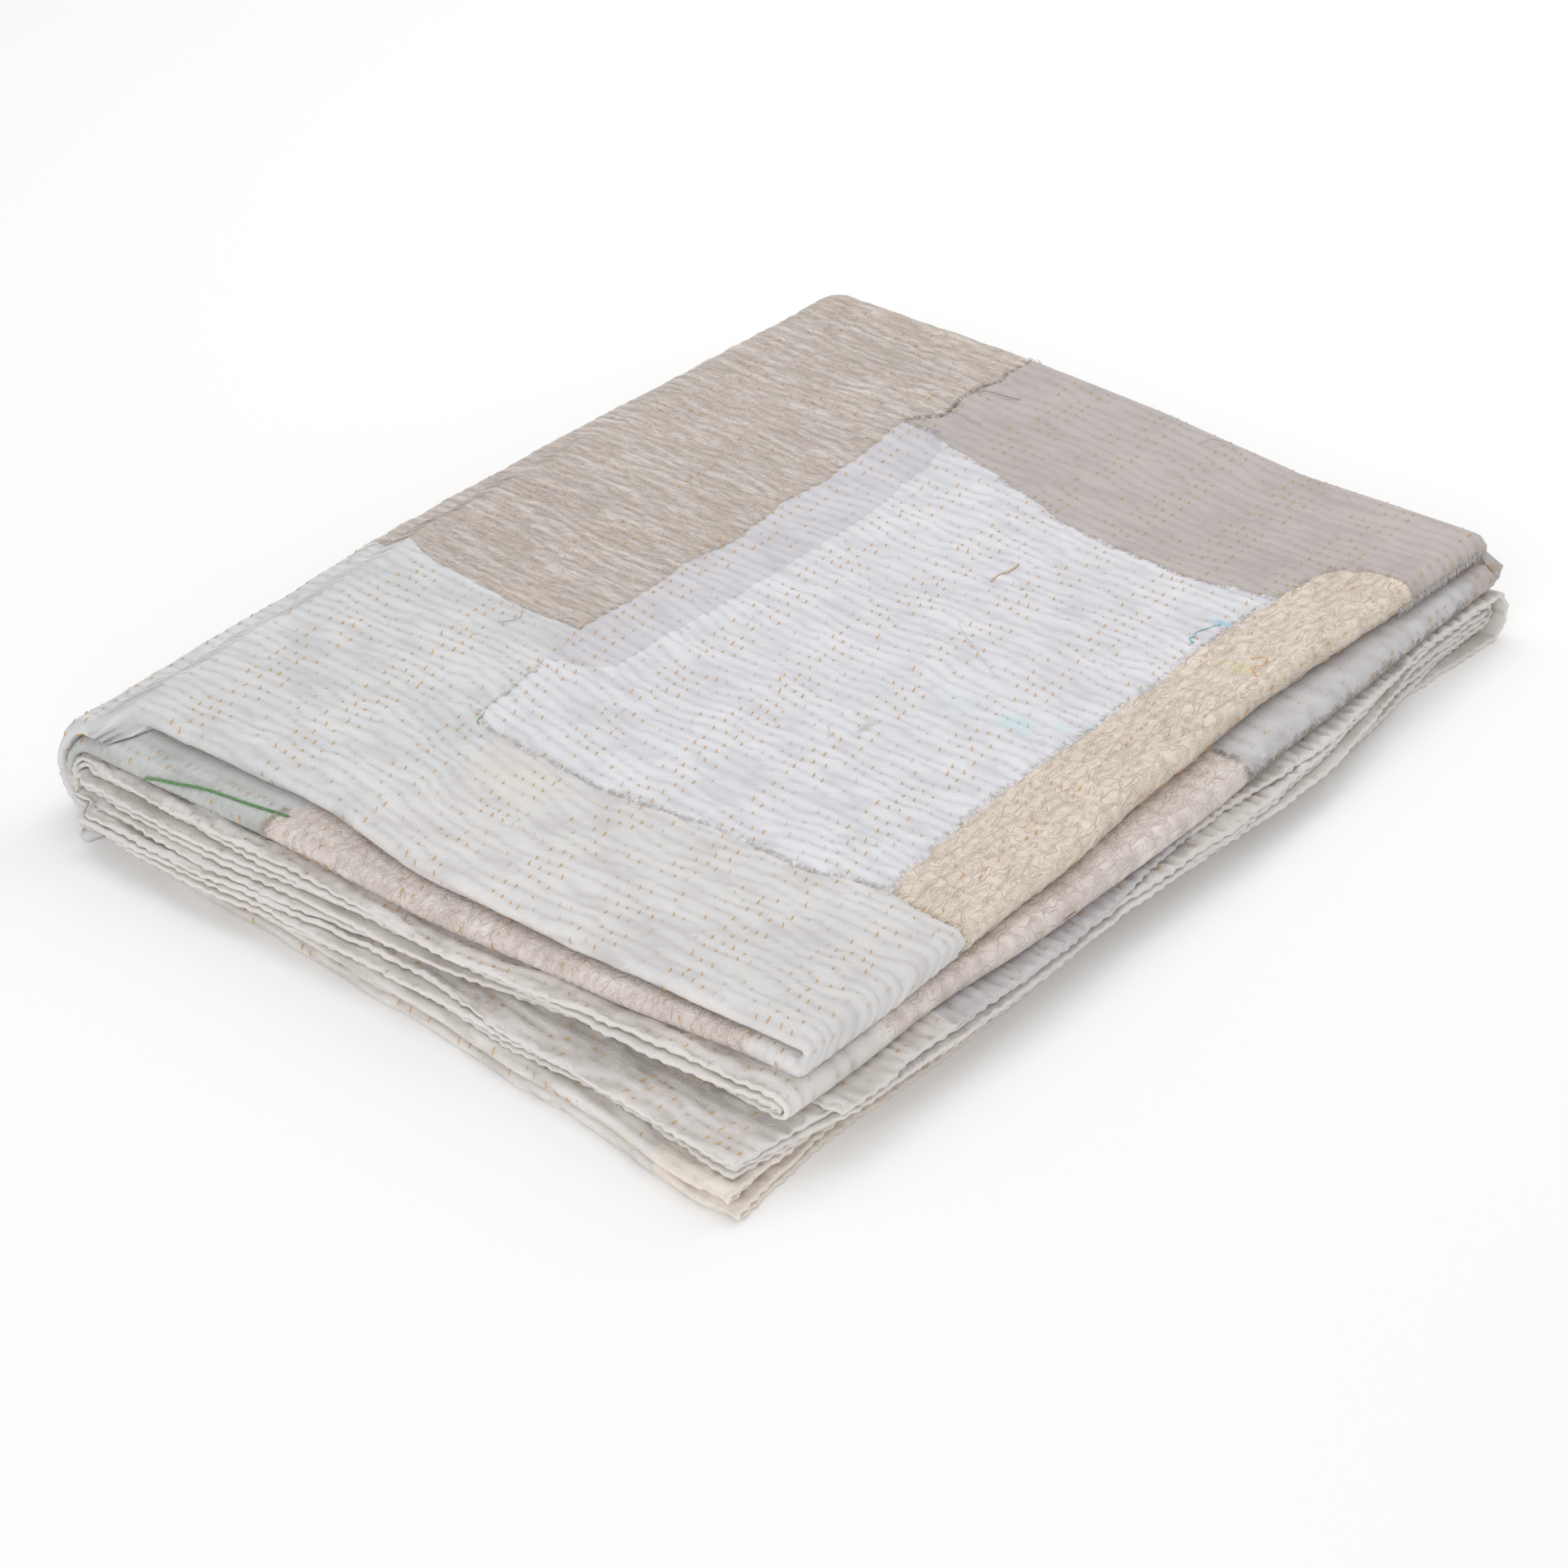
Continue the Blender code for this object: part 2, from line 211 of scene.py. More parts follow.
def fold(points):
    """Turn the flat sheet's points under, one fold after another."""
    p = points.copy()
    low, high = -PITCH / 2.0, PITCH / 2.0
    for axis, side, line, taken, bulge in FOLDS:
        a, z = side * p[:, axis], p[:, 2].copy()
        start, centre = side * line, low
        turn = np.clip((a - start) / taken, 0.0, 1.0) * math.pi
        radius = z - centre
        past = np.maximum(a - start - taken, 0.0)
        p[:, axis] = side * (np.minimum(a, start) + bulge * radius * np.sin(turn) - past)
        p[:, 2] = centre + radius * np.cos(turn)
        low = 2.0 * centre - high
    p[:, 2] += LAYERS * PITCH - PITCH / 2.0 - GAP / 2.0
    return p


def settle(points):
    """Let the even stack lean and bulge, layer over layer."""
    x, y, z = points.T
    out = points.copy()
    layer = z / PITCH
    even, front = (np.array(c) for c in zip(*BANDS))
    near = smooth(-y, 0.16, 0.27)
    out[:, 2] += near * (np.interp(layer, even, front) - layer) * PITCH
    band = layer + GAP / PITCH / 2.0
    # the whole roll on the far left reaches as far forward as layer 13
    rolled = smooth(-x, 0.190, 0.222)
    reach = table(FRONT, FRONT_AT, band + rolled * (13.0 - band), x)
    out[:, 1] += smooth(-y, -0.20, 0.282) * (reach - HEM_Y)
    out[:, 1] += smooth(y, 0.0, 0.281) * (np.interp(x, BACK_AT, BACK) - EVEN_BACK)
    out[:, 0] += smooth(x, -0.05, 0.208) * (table(RIGHT, RIGHT_AT, band, y) - HEM_X)
    out[:, 0] += smooth(-x, 0.0, 0.212) * (np.interp(y, LEFT_AT, LEFT) - EVEN_LEFT)
    wave = (
        0.020 * np.sin(9.0 * x + 5.0 * y + 0.6)
        + 0.016 * np.sin(14.0 * y - 7.0 * x + 2.1)
        + 0.010 * np.sin(21.0 * x + 11.0 * y)
    )
    out[:, 2] *= 1.0 + wave * smooth(out[:, 2], 0.002, 0.05)
    return out


def rough(u, v, size, seed):
    """Smooth noise from -1 to 1 on the flat cloth, with bumps of about the size."""
    count = 64
    grid = np.random.default_rng(seed).uniform(-1.0, 1.0, (count, count))
    a, b = u / size + 7.3, v / size + 3.1
    i, j = np.floor(a).astype(int), np.floor(b).astype(int)
    f, g = smooth(a - i, 0.0, 1.0), smooth(b - j, 0.0, 1.0)
    i0, i1, j0, j1 = i % count, (i + 1) % count, j % count, (j + 1) % count
    low = grid[i0, j0] * (1.0 - f) + grid[i1, j0] * f
    high = grid[i0, j1] * (1.0 - f) + grid[i1, j1] * f
    return low * (1.0 - g) + high * g


def hem_shift(u, v):
    """The flat cloth's real edges: one corner drawn back, and every hem a little wavy."""
    out_u, out_v = u.copy(), v.copy()
    out_v -= TUCK * smooth(U0 - u, -0.32, 0.0) * smooth(v, V1 - 0.45, V1)
    for name, gap, along, out, inward in (
        ("u low", u - U0, v, out_u, 1.0),
        ("u high", U1 - u, v, out_u, -1.0),
        ("v low", v - V0, u, out_v, 1.0),
        ("v high", V1 - v, u, out_v, -1.0),
    ):
        wander = sum(size * np.sin(often * along + shift) for often, shift, size in HEMS[name])
        out += wander * (1.0 - smooth(gap, 0.0, 0.07))
        beat = along / HEM_STITCH + 0.35 * rough(along, along * 0.0, 0.03, 25)
        scallop = 0.0007 * np.cos(2.0 * math.pi * beat) + 0.0009 * rough(along, along * 0.0, 0.012, 6)
        out += inward * scallop * (1.0 - smooth(gap, 0.0, 0.012))
    return out_u, out_v


def place(u, v, t, height):
    """Points of the flat cloth where the folded quilt has them, moved out of their face by a height."""
    su, sv = hem_shift(np.asarray(u, float), np.asarray(v, float))
    t = np.asarray(t, float) + su * 0.0
    p = settle(fold(np.stack([su, sv, t], axis=1)))
    side = np.where(t < 0.0, -1.0, 1.0)
    way = p - settle(fold(np.stack([su, sv, t - side * 0.0003], axis=1)))
    p += way / np.linalg.norm(way, axis=1)[:, None] * height[:, None]
    p[:, 0] -= MIDDLE[0]
    p[:, 1] -= MIDDLE[1]
    return p


def from_top(points):
    """Millimetres on the stack's top, as places on the flat cloth in metres."""
    goal = np.array(points, float) / 1000.0
    flat = goal.copy()
    for _ in range(12):
        t = np.full(len(flat), SHEET / 2.0)
        now = settle(fold(np.column_stack([flat, t])))[:, :2]
        flat += goal - now
    return flat


def ridge_phase(u, v, pitch, wild):
    """The quilting's ridges and valleys: a whole turn from one valley to the next."""
    drift = (
        1.30 * np.sin(23.0 * u + 1.1 * np.sin(17.0 * v) + 0.4)
        + 0.85 * np.sin(47.0 * u - 19.0 * v + 1.2)
        + 0.45 * np.sin(83.0 * u + 31.0 * v)
        + 2.3 * wild * rough(0.45 * u, v, 0.011, 11)
        + 1.5 * wild * rough(u, v, 0.009, 12)
        + 0.5 * wild * rough(u, v, 0.0045, 14)
    )
    turn = 2.0 * math.pi * (v + 0.16 * np.maximum(wild - 0.6, 0.0) * u) / pitch + drift
    for fu, fv, way in FORKS:
        turn = turn + way * np.arctan2(v - fv, u - fu)
    return turn


def row_wave(u, v):
    """How far a row of stitches strays from its straight line."""
    return 0.0007 * np.sin(21.0 * v + 30.0 * u)


def row_place(u, v, spacing):
    """Where a point lies among the rows of stitches: whole numbers are on a row."""
    return (u + ROW_LEAN * v + row_wave(u, v)) / spacing


def ridges(u, v, sizes, wild, narrow):
    """Height of the quilting from 0 in a valley to 1 on a ridge."""
    turn = ridge_phase(u, v, sizes.ridge_pitch, wild)
    turn = (turn + math.pi) % (2.0 * math.pi) - math.pi
    # each ridge leans over, with its steep side towards the front and its crest before the middle
    crest = -0.9
    lean = np.where(
        turn < crest, (turn + math.pi) / (math.pi + crest), (math.pi - turn) / (math.pi - crest)
    )
    puff = np.sin(np.clip(lean, 0.0, 1.0) * math.pi / 2.0)
    on_row = np.cos(math.pi * row_place(u, v, sizes.row_spacing)) ** 2
    free = 0.15 + 0.85 * puff**narrow
    held = smooth(puff, 0.25, 1.0)
    size = 0.74 + 0.45 * rough(0.50 * u, v, 0.0085, 13) + 0.22 * rough(u, v, 0.005, 15)
    return (free * (1.0 - 0.45 * on_row) + held * 0.45 * on_row) * np.clip(size, 0.12, 1.25)


def seam_line(name):
    """A seam as close points on the flat cloth, with the wobble of a hand-cut edge."""
    before, middle, after, _, torn = SEAMS[name]
    ends = [np.array(e, float).reshape(-1, 2) / 1000.0 for e in (before, after)]
    rough_line = np.vstack([ends[0], from_top(middle), ends[1]])
    step = np.linalg.norm(np.diff(rough_line, axis=0), axis=1)
    run = np.concatenate([[0.0], np.cumsum(step)])
    count = max(4, int(run[-1] / 0.0017))
    at = np.linspace(0.0, run[-1], count + 1)
    line = np.column_stack([np.interp(at, run, column) for column in rough_line.T])
    for _ in range(6):
        line[1:-1] = 0.5 * line[1:-1] + 0.25 * (line[:-2] + line[2:])
    way = np.gradient(line, axis=0)
    way /= np.linalg.norm(way, axis=1)[:, None]
    side = np.column_stack([-way[:, 1], way[:, 0]])
    seed = 40 + list(SEAMS).index(name)
    zero = at * 0.0
    wobble = 0.0010 * rough(at, zero, 0.011, seed) + 0.0006 * torn * rough(at, zero, 0.0045, seed + 20)
    fade = smooth(at, 0.0, 0.006) * smooth(run[-1] - at, 0.0, 0.006)
    return line + side * (wobble * fade)[:, None], side


def within(points, box):
    """Which points lie in a box of the flat cloth: u, v, u, v."""
    a, b, c, d = box
    return (points[:, 0] > a) & (points[:, 0] < c) & (points[:, 1] > b) & (points[:, 1] < d)


def inside(polygon, points):
    """Which points lie inside a polygon."""
    px, py = points[:, 0], points[:, 1]
    hit = np.zeros(len(points), bool)
    ax, ay = polygon[-1]
    for bx, by in polygon:
        if ay != by:
            cross = (ay > py) != (by > py)
            hit ^= cross & (px < (bx - ax) * (py - ay) / (by - ay) + ax)
        ax, ay = bx, by
    return hit


class Cuts:
    """The top's patches as drawn once, for the cloth, its stitches and its frayed edges."""

    def __init__(self):
        self.lines, self.sides = {}, {}
        for name in SEAMS:
            self.lines[name], self.sides[name] = seam_line(name)
        self.polygons = []
        for patch, outline in PATCHES:
            run = []
            for a, b in outline:
                if isinstance(a, str):
                    run.extend(self.lines[a][::b].tolist())
                else:
                    run.append((a / 1000.0, b / 1000.0))
            self.polygons.append((patch, np.array(run)))

    def cloth_at(self, points):
        """The number of the cloth at each point of the flat quilt."""
        names = list(DEPTH)
        found = np.full(len(points), names.index("cotton_offwhite"))
        for patch, box in ZONES:
            found[within(points, np.array(box) / 1000.0)] = names.index(patch)
        # only places near the top are tested against its patches' outlines
        near = within(points, (-0.305, -0.312, 0.255, 0.336))
        for patch, polygon in self.polygons:
            hit = near.copy()
            hit[near] = inside(polygon, points[near])
            found[hit] = names.index(patch)
        return found

    def raised(self, points, height):
        """How much a patch's edge stands over the one beside it."""
        up = np.zeros(len(points))
        for name, line in self.lines.items():
            over = SEAMS[name][3]
            if not over:
                continue
            low, high = line.min(axis=0) - 0.012, line.max(axis=0) + 0.012
            near = np.where(np.all((points > low) & (points < high), axis=1))[0]
            if not len(near):
                continue
            gap = points[near][:, None, :] - line[None, :, :]
            far = np.einsum("ijk,ijk->ij", gap, gap)
            close = far.argmin(axis=1)
            distance = np.sqrt(far[np.arange(len(near)), close])
            way = np.einsum("ik,ik->i", gap[np.arange(len(near)), close], self.sides[name][close])
            way *= over
            lift = np.where(way > 0.0, height * smooth(distance, 0.0, 0.0006), 0.0)
            lift *= 0.25 + 0.75 * np.exp(-distance / 0.004)
            lift *= 1.0 - smooth(distance, 0.006, 0.012)
            up[near] = np.maximum(up[near], lift)
        return up


def lattice(box, step_u, step_v, lean):
    """Points in rows over a box of the flat cloth, which lean, or else are set off by half a step."""
    a, b, c, d = box
    rows = np.arange(b + step_v / 2.0, d, step_v)
    if lean:
        first = math.ceil((a + min(lean * b, lean * d)) / step_u)
        last = math.floor((c + max(lean * b, lean * d)) / step_u)
        columns = np.arange(first, last + 1) * step_u
    else:
        columns = np.arange(a + step_u / 2.0, c - step_u / 4.0, step_u)
    u, v = np.meshgrid(columns, rows)
    u = u - lean * v if lean else u + (np.arange(len(rows)) % 2)[:, None] * step_u / 2.0
    points = np.column_stack([u.ravel(), v.ravel()])
    return points[(points[:, 0] < c - step_u / 8.0) & (points[:, 0] > a + step_u / 8.0)]


def spread(areas):
    """Points for one face of the cloth: each area's own, outside the areas before it."""
    rim = 0.001
    kept = []
    for n, (box, step_u, step_v) in enumerate(areas):
        # the finest area's points follow the lean of the rows of stitches
        points = lattice(box, step_u, step_v, 0.0 if n else ROW_LEAN)
        inner = within(points, (U0 + rim, V0 + rim, U1 - rim, V1 - rim))
        for before, _, _ in areas[:n]:
            inner &= ~within(points, before)
        kept.append(points[inner])
    return np.vstack(kept)


def triangles(points, edges):
    """Triangles between flat points that keep the given edges."""
    given = [Vector((u * 1000.0, v * 1000.0)) for u, v in points]
    verts, _, faces, source, _, _ = delaunay_2d_cdt(given, edges, [], 0, 1e-4)
    extra = [n for n, s in enumerate(source) if not s]
    if extra:
        points = np.vstack([points, [[verts[n].x / 1000.0, verts[n].y / 1000.0] for n in extra]])
    number = {n: len(given) + k for k, n in enumerate(extra)}
    real = np.array([s[0] if s else number[n] for n, s in enumerate(source)])
    return points, real[np.array(faces)]


def edge_strips(u, v, inner):
    """1 in the parts of the lower layers that stick out far enough to show, 0 elsewhere."""
    if inner:
        front = smooth(-v, 1.398, 1.406) * smooth(-u, 0.225, 0.260)
        side = smooth(-u, 0.650, 0.660) * smooth(-v, 0.880, 0.930)
        return np.maximum(front, side)
    third = smooth(v, 0.852, 0.860) * smooth(u, 0.215, 0.235) * smooth(0.700 - u, 0.0, 0.04)
    ninth = smooth(-u, 0.674, 0.682) * smooth(v, 0.290, 0.320)
    lowest = (smooth(0.016 - np.abs(v + 0.281), 0.0, 0.006)
              * np.maximum(smooth(u, 0.660, 0.700), smooth(-u, 0.240, 0.270)))
    return np.maximum(np.maximum(third, ninth), 0.7 * lowest)


def top_share(u, v):
    """1 on the top and the folds beside it, 0 where the outer face lies inside the stack."""
    share = smooth(0.252 - np.abs(u + 0.002), 0.0, 0.035) * smooth(v, -0.306, -0.268)
    share *= smooth(0.330 - v, 0.0, 0.06)
    # the quilting is flatter round the folds
    share *= 1.0 - 0.55 * smooth(u, 0.180, 0.222) - 0.45 * smooth(-u, 0.195, 0.240)
    return share


def hem_rows(u, v):
    """The two rows of stitches along each hem, and how far each place between stitches is drawn in."""
    gap_u, gap_v = np.minimum(u - U0, U1 - u), np.minimum(v - V0, V1 - v)
    edge = np.minimum(gap_u, gap_v)
    row = np.exp(-(((edge - 0.0055) / 0.0018) ** 2)) + 0.7 * np.exp(-(((edge - 0.0130) / 0.0020) ** 2))
    row *= smooth(np.abs(gap_u - gap_v), 0.0, 0.020)
    along = np.where(gap_u < gap_v, v, u)
    beat = 2.0 * math.pi * along / HEM_STITCH + 2.2 * rough(along, along * 0.0, 0.03, 25)
    return row, 0.5 + 0.5 * np.cos(beat)


def relief(u, v, cloth, cuts, sizes, inner=False):
    """Height of one face of the quilt over its plain thickness, and the quilting's 0 to 1, which the colour
    turns into painted shade and highlight.
    """
    deep, crumple, wild, turned, narrow = np.array(list(DEPTH.values()))[cloth].T
    level = ridges(u, v, sizes, wild, narrow)
    strips = edge_strips(u, v, inner)
    on_top = strips if inner else np.maximum(top_share(u, v), strips)
    up = sizes.ridge_height * (level - 0.45) * deep * (0.28 + 0.72 * on_top)
    up *= 1.0 + 0.5 * strips
    # crumples, which lie across the quilt in some cloths and along it in others, and slow waves
    across = rough(0.40 * u + 0.1 * v, v + 0.15 * u, 0.0042, 22)
    across += 0.6 * rough(0.6 * u, v - 0.3 * u, 0.0030, 23)
    lengthways = rough(u + 0.25 * v, 0.38 * v, 0.0046, 26) + 0.7 * rough(u - 0.5 * v, 0.6 * v, 0.0034, 27)
    slant = across * (1.0 - turned) + lengthways * turned
    up += 0.00042 * crumple * slant * (0.45 + 0.55 * on_top)
    up += 0.00030 * rough(u, v, 0.028, 24) * on_top
    # the level also picks the colour, so the crumples' rises and hollows get a painted highlight and painted
    # shade too
    level = np.clip(level * (1.0 - 0.6 * turned) + 0.5 * turned + 0.10 * crumple * slant, 0.0, 1.1)
    row, pull = hem_rows(u, v)
    up -= (0.00045 + 0.00060 * on_top) * row * pull
    if inner:
        return up * on_top + 0.00012 * rough(u, v, 0.006, 31), level
    up += cuts.raised(np.column_stack([u, v]), sizes.seam_height)
    return up, level


HEM = 0.0120  # width of the strips of closer points along the hems
HEM_ROUND = 0.42  # how far the hem's round edge stands out, as a share of the cloth's thickness
TOP_BOX = (-0.240, -0.300, 0.230, 0.292)
# How close the points of the outer face lie: a box of the flat cloth, and the steps across and along.
# Each row holds outside TOP_BOX and the rows before it: what shows is fine, a turn is fine around its
# bend, and what lies flat inside the stack is coarse.
OUTER_AREAS = (
    ((0.213, V1 - 0.022, 0.690, V1), 0.0026, 0.0024),
    ((U0, 0.295, U0 + 0.020, V1), 0.0026, 0.0026),
    ((U0, V0, U0 + HEM, V1), 0.0036, 0.0050),
    ((U1 - HEM, V0, U1, V1), 0.0036, 0.0050),
    ((U0, V0, U1, V0 + HEM), 0.0050, 0.0036),
    ((U0, V1 - HEM, U1, V1), 0.0050, 0.0036),
    ((-0.335, -0.305, 0.690, -0.262), 0.0048, 0.0023),
    ((U0, -0.298, U1, -0.266), 0.0044, 0.0023),
    ((-0.300, -0.262, -0.240, 0.335), 0.0060, 0.0036),
    ((-0.335, 0.292, 0.240, 0.335), 0.0060, 0.0035),
    ((0.190, 0.292, 0.246, V1), 0.0024, 0.0048),
    ((U0, 0.270, -0.335, 0.335), 0.0080, 0.0050),
    ((-0.290, V0, -0.205, V1), 0.0075, 0.0300),
    ((0.640, V0, 0.715, V1), 0.0075, 0.0300),
    ((0.190, V0, 0.246, V1), 0.0045, 0.0300),
    ((U0, -0.890, U1, -0.836), 0.0300, 0.0060),
    ((U0, 0.270, U1, 0.325), 0.0300, 0.0060),
    ((U0, V0, U1, V1), 0.0400, 0.0400),
)
# The same for the inner face, which shows along two of its hems only.
INNER_AREAS = (
    ((U0, V0, -0.232, V0 + 0.046), 0.0027, 0.0027),
    ((U0, V0, U0 + 0.016, -0.895), 0.0027, 0.0034),
    ((U0, V0, U0 + HEM, V1), 0.0060, 0.0080),
    ((U1 - HEM, V0, U1, V1), 0.0060, 0.0080),
    ((U0, V0, U1, V0 + HEM), 0.0080, 0.0060),
    ((U0, V1 - HEM, U1, V1), 0.0080, 0.0060),
    ((U0, -0.295, U1, -0.270), 0.0300, 0.0022),
    ((-0.290, V0, -0.205, V1), 0.0075, 0.0300),
    ((0.640, V0, 0.715, V1), 0.0075, 0.0300),
    ((0.200, V0, 0.236, V1), 0.0040, 0.0300),
    ((U0, -0.890, U1, -0.836), 0.0300, 0.0060),
    ((U0, 0.270, U1, 0.325), 0.0300, 0.0060),
    ((U0, V0, U1, V1), 0.0400, 0.0400),
)


def rim_line():
    """The hem's line around the flat cloth, the same for both faces."""
    step = 0.0037
    side_u = np.linspace(U0, U1, int((U1 - U0) / step) + 1)
    side_v = np.linspace(V0, V1, int((V1 - V0) / step) + 1)
    return np.vstack([
        np.column_stack([side_u[:-1], side_u[:-1] * 0 + V0]),
        np.column_stack([side_v[:-1] * 0 + U1, side_v[:-1]]),
        np.column_stack([side_u[:0:-1], side_u[:0:-1] * 0 + V1]),
        np.column_stack([side_v[:0:-1] * 0 + U0, side_v[:0:-1]]),
    ])


def outer_face(cuts, sizes, rim, ring):
    """The outer face's flat points and triangles, with the patches' edges kept as lines."""
    points, edges, seen = [tuple(p) for p in rim], list(ring), {}
    seam_points = []
    for name, line in cuts.lines.items():
        previous = None
        for p in line:
            # seams meet at shared points, which are alike to within 5 micrometres
            key = (round(p[0] * 2e5), round(p[1] * 2e5))
            if key not in seen:
                seen[key] = len(points)
                points.append(tuple(p))
            if previous is not None and previous != seen[key]:
                edges.append((previous, seen[key]))
            previous = seen[key]
        seam_points.append(line)
        over = SEAMS[name][3]
        if over:
            beside = line[2:-2] + cuts.sides[name][2:-2] * over * 0.0007
            points.extend(tuple(p) for p in beside)
            seam_points.append(beside)
    seam_points = np.vstack(seam_points)
    field = spread(((TOP_BOX, sizes.row_spacing / 2.0, 0.00175),) + OUTER_AREAS)
    # the field's own points keep 0.9 mm away from the seams'
    near = np.where(within(field, (-0.31, -0.32, 0.26, 0.345)))[0]
    free = np.ones(len(field), bool)
    for part in np.array_split(near, 60):
        gap = field[part][:, None, :] - seam_points[None, :, :]
        free[part] = np.einsum("ijk,ijk->ij", gap, gap).min(axis=1) > 0.0009**2
    return triangles(np.vstack([np.array(points), field[free]]), edges)


def cloth_mesh(sizes):
    """The whole quilt as one thin closed sheet, drawn flat and then folded."""
    cuts = Cuts()
    rim = rim_line()
    n_rim = len(rim)
    ring = [(k, (k + 1) % n_rim) for k in range(n_rim)]
    top_points, top_faces = outer_face(cuts, sizes, rim, ring)
    low_points, low_faces = triangles(np.vstack([rim, spread(INNER_AREAS)]), ring)

    # both faces and the rounded hem between them
    cloth = cuts.cloth_at(top_points)
    up, level = relief(top_points[:, 0], top_points[:, 1], cloth, cuts, sizes)
    flat = [np.column_stack([top_points, top_points[:, 0] * 0.0 + SHEET / 2.0])]
    reliefs, levels = [up], [level]
    out = np.zeros((n_rim, 2))
    out[:, 0] = (rim[:, 0] >= U1 - 1e-9) * 1.0 - (rim[:, 0] <= U0 + 1e-9) * 1.0
    out[:, 1] = (rim[:, 1] >= V1 - 1e-9) * 1.0 - (rim[:, 1] <= V0 + 1e-9) * 1.0
    out /= np.linalg.norm(out, axis=1)[:, None]
    rows = [np.arange(n_rim)]
    total = len(top_points)
    for angle in (50.0, 0.0, -50.0):
        turn = math.radians(angle)
        spot = rim + out * math.cos(turn) * SHEET * HEM_ROUND
        flat.append(np.column_stack([spot, spot[:, 0] * 0.0 + math.sin(turn) * SHEET / 2.0]))
        reliefs.append(up[:n_rim] * max(0.0, math.sin(turn)))
        # the round hem takes one fixed level of the painted shade and highlight, a little lighter than the
        # base colour
        levels.append(np.full(n_rim, 0.7))
        rows.append(np.arange(total, total + n_rim))
        total += n_rim
    low_u, low_v = low_points[:, 0], low_points[:, 1]
    low_cloth = cuts.cloth_at(low_points)
    low_up, low_level = relief(low_u, low_v, low_cloth, cuts, sizes, True)
    flat.append(np.column_stack([low_points, low_u * 0.0 - SHEET / 2.0]))
    reliefs.append(low_up)
    levels.append(low_level)
    rows.append(np.arange(total, total + n_rim))
    low_faces = low_faces[:, ::-1] + total
    flat = np.vstack(flat)
    faces = [top_faces, low_faces]
    for a, b in zip(rows[:-1], rows[1:]):
        a1, b1 = np.roll(a, -1), np.roll(b, -1)
        faces.append(np.column_stack([a, b, b1]))
        faces.append(np.column_stack([a, b1, a1]))
    faces = np.vstack(faces)
    placed = place(flat[:, 0], flat[:, 1], flat[:, 2], np.concatenate(reliefs))
    placed[:, 2] = np.maximum(placed[:, 2], 0.0)

    mesh = bpy.data.meshes.new("quilt_cloth")
    mesh.from_pydata(placed.tolist(), [], faces.tolist())
    mesh.update()
    uv = mesh.uv_layers.new(name="flat_cloth")
    loops = np.zeros(len(mesh.loops), int)
    mesh.loops.foreach_get("vertex_index", loops)
    uv.data.foreach_set("uv", (flat[loops][:, :2] + UV_SHIFT).ravel())
    # the level, which the cloths' colour ramps turn into painted shade in the valleys and a painted highlight
    # on the ridges
    rise = mesh.attributes.new("rise", "FLOAT", "POINT")
    rise.data.foreach_set("value", np.concatenate(levels).astype(np.float32))
    which = cuts.cloth_at(flat[faces].mean(axis=1)[:, :2])
    mesh.polygons.foreach_set("material_index", which.astype(np.int32))
    mesh.shade_smooth()
    return mesh


def add(tree, kind, settings=None, inputs=None):
    """A new node with its settings, and its inputs set or linked."""
    made = tree.nodes.new(kind)
    for name, value in (settings or {}).items():
        setattr(made, name, value)
    for name, value in (inputs or {}).items():
        socket = made.inputs[name]
        if isinstance(value, bpy.types.NodeSocket):
            tree.links.new(value, socket)
        else:
            socket.default_value = value
    return made


# Settings that many nodes share.
FLAT_NOISE = {"noise_dimensions": "2D"}
TIMES = {"operation": "MULTIPLY"}


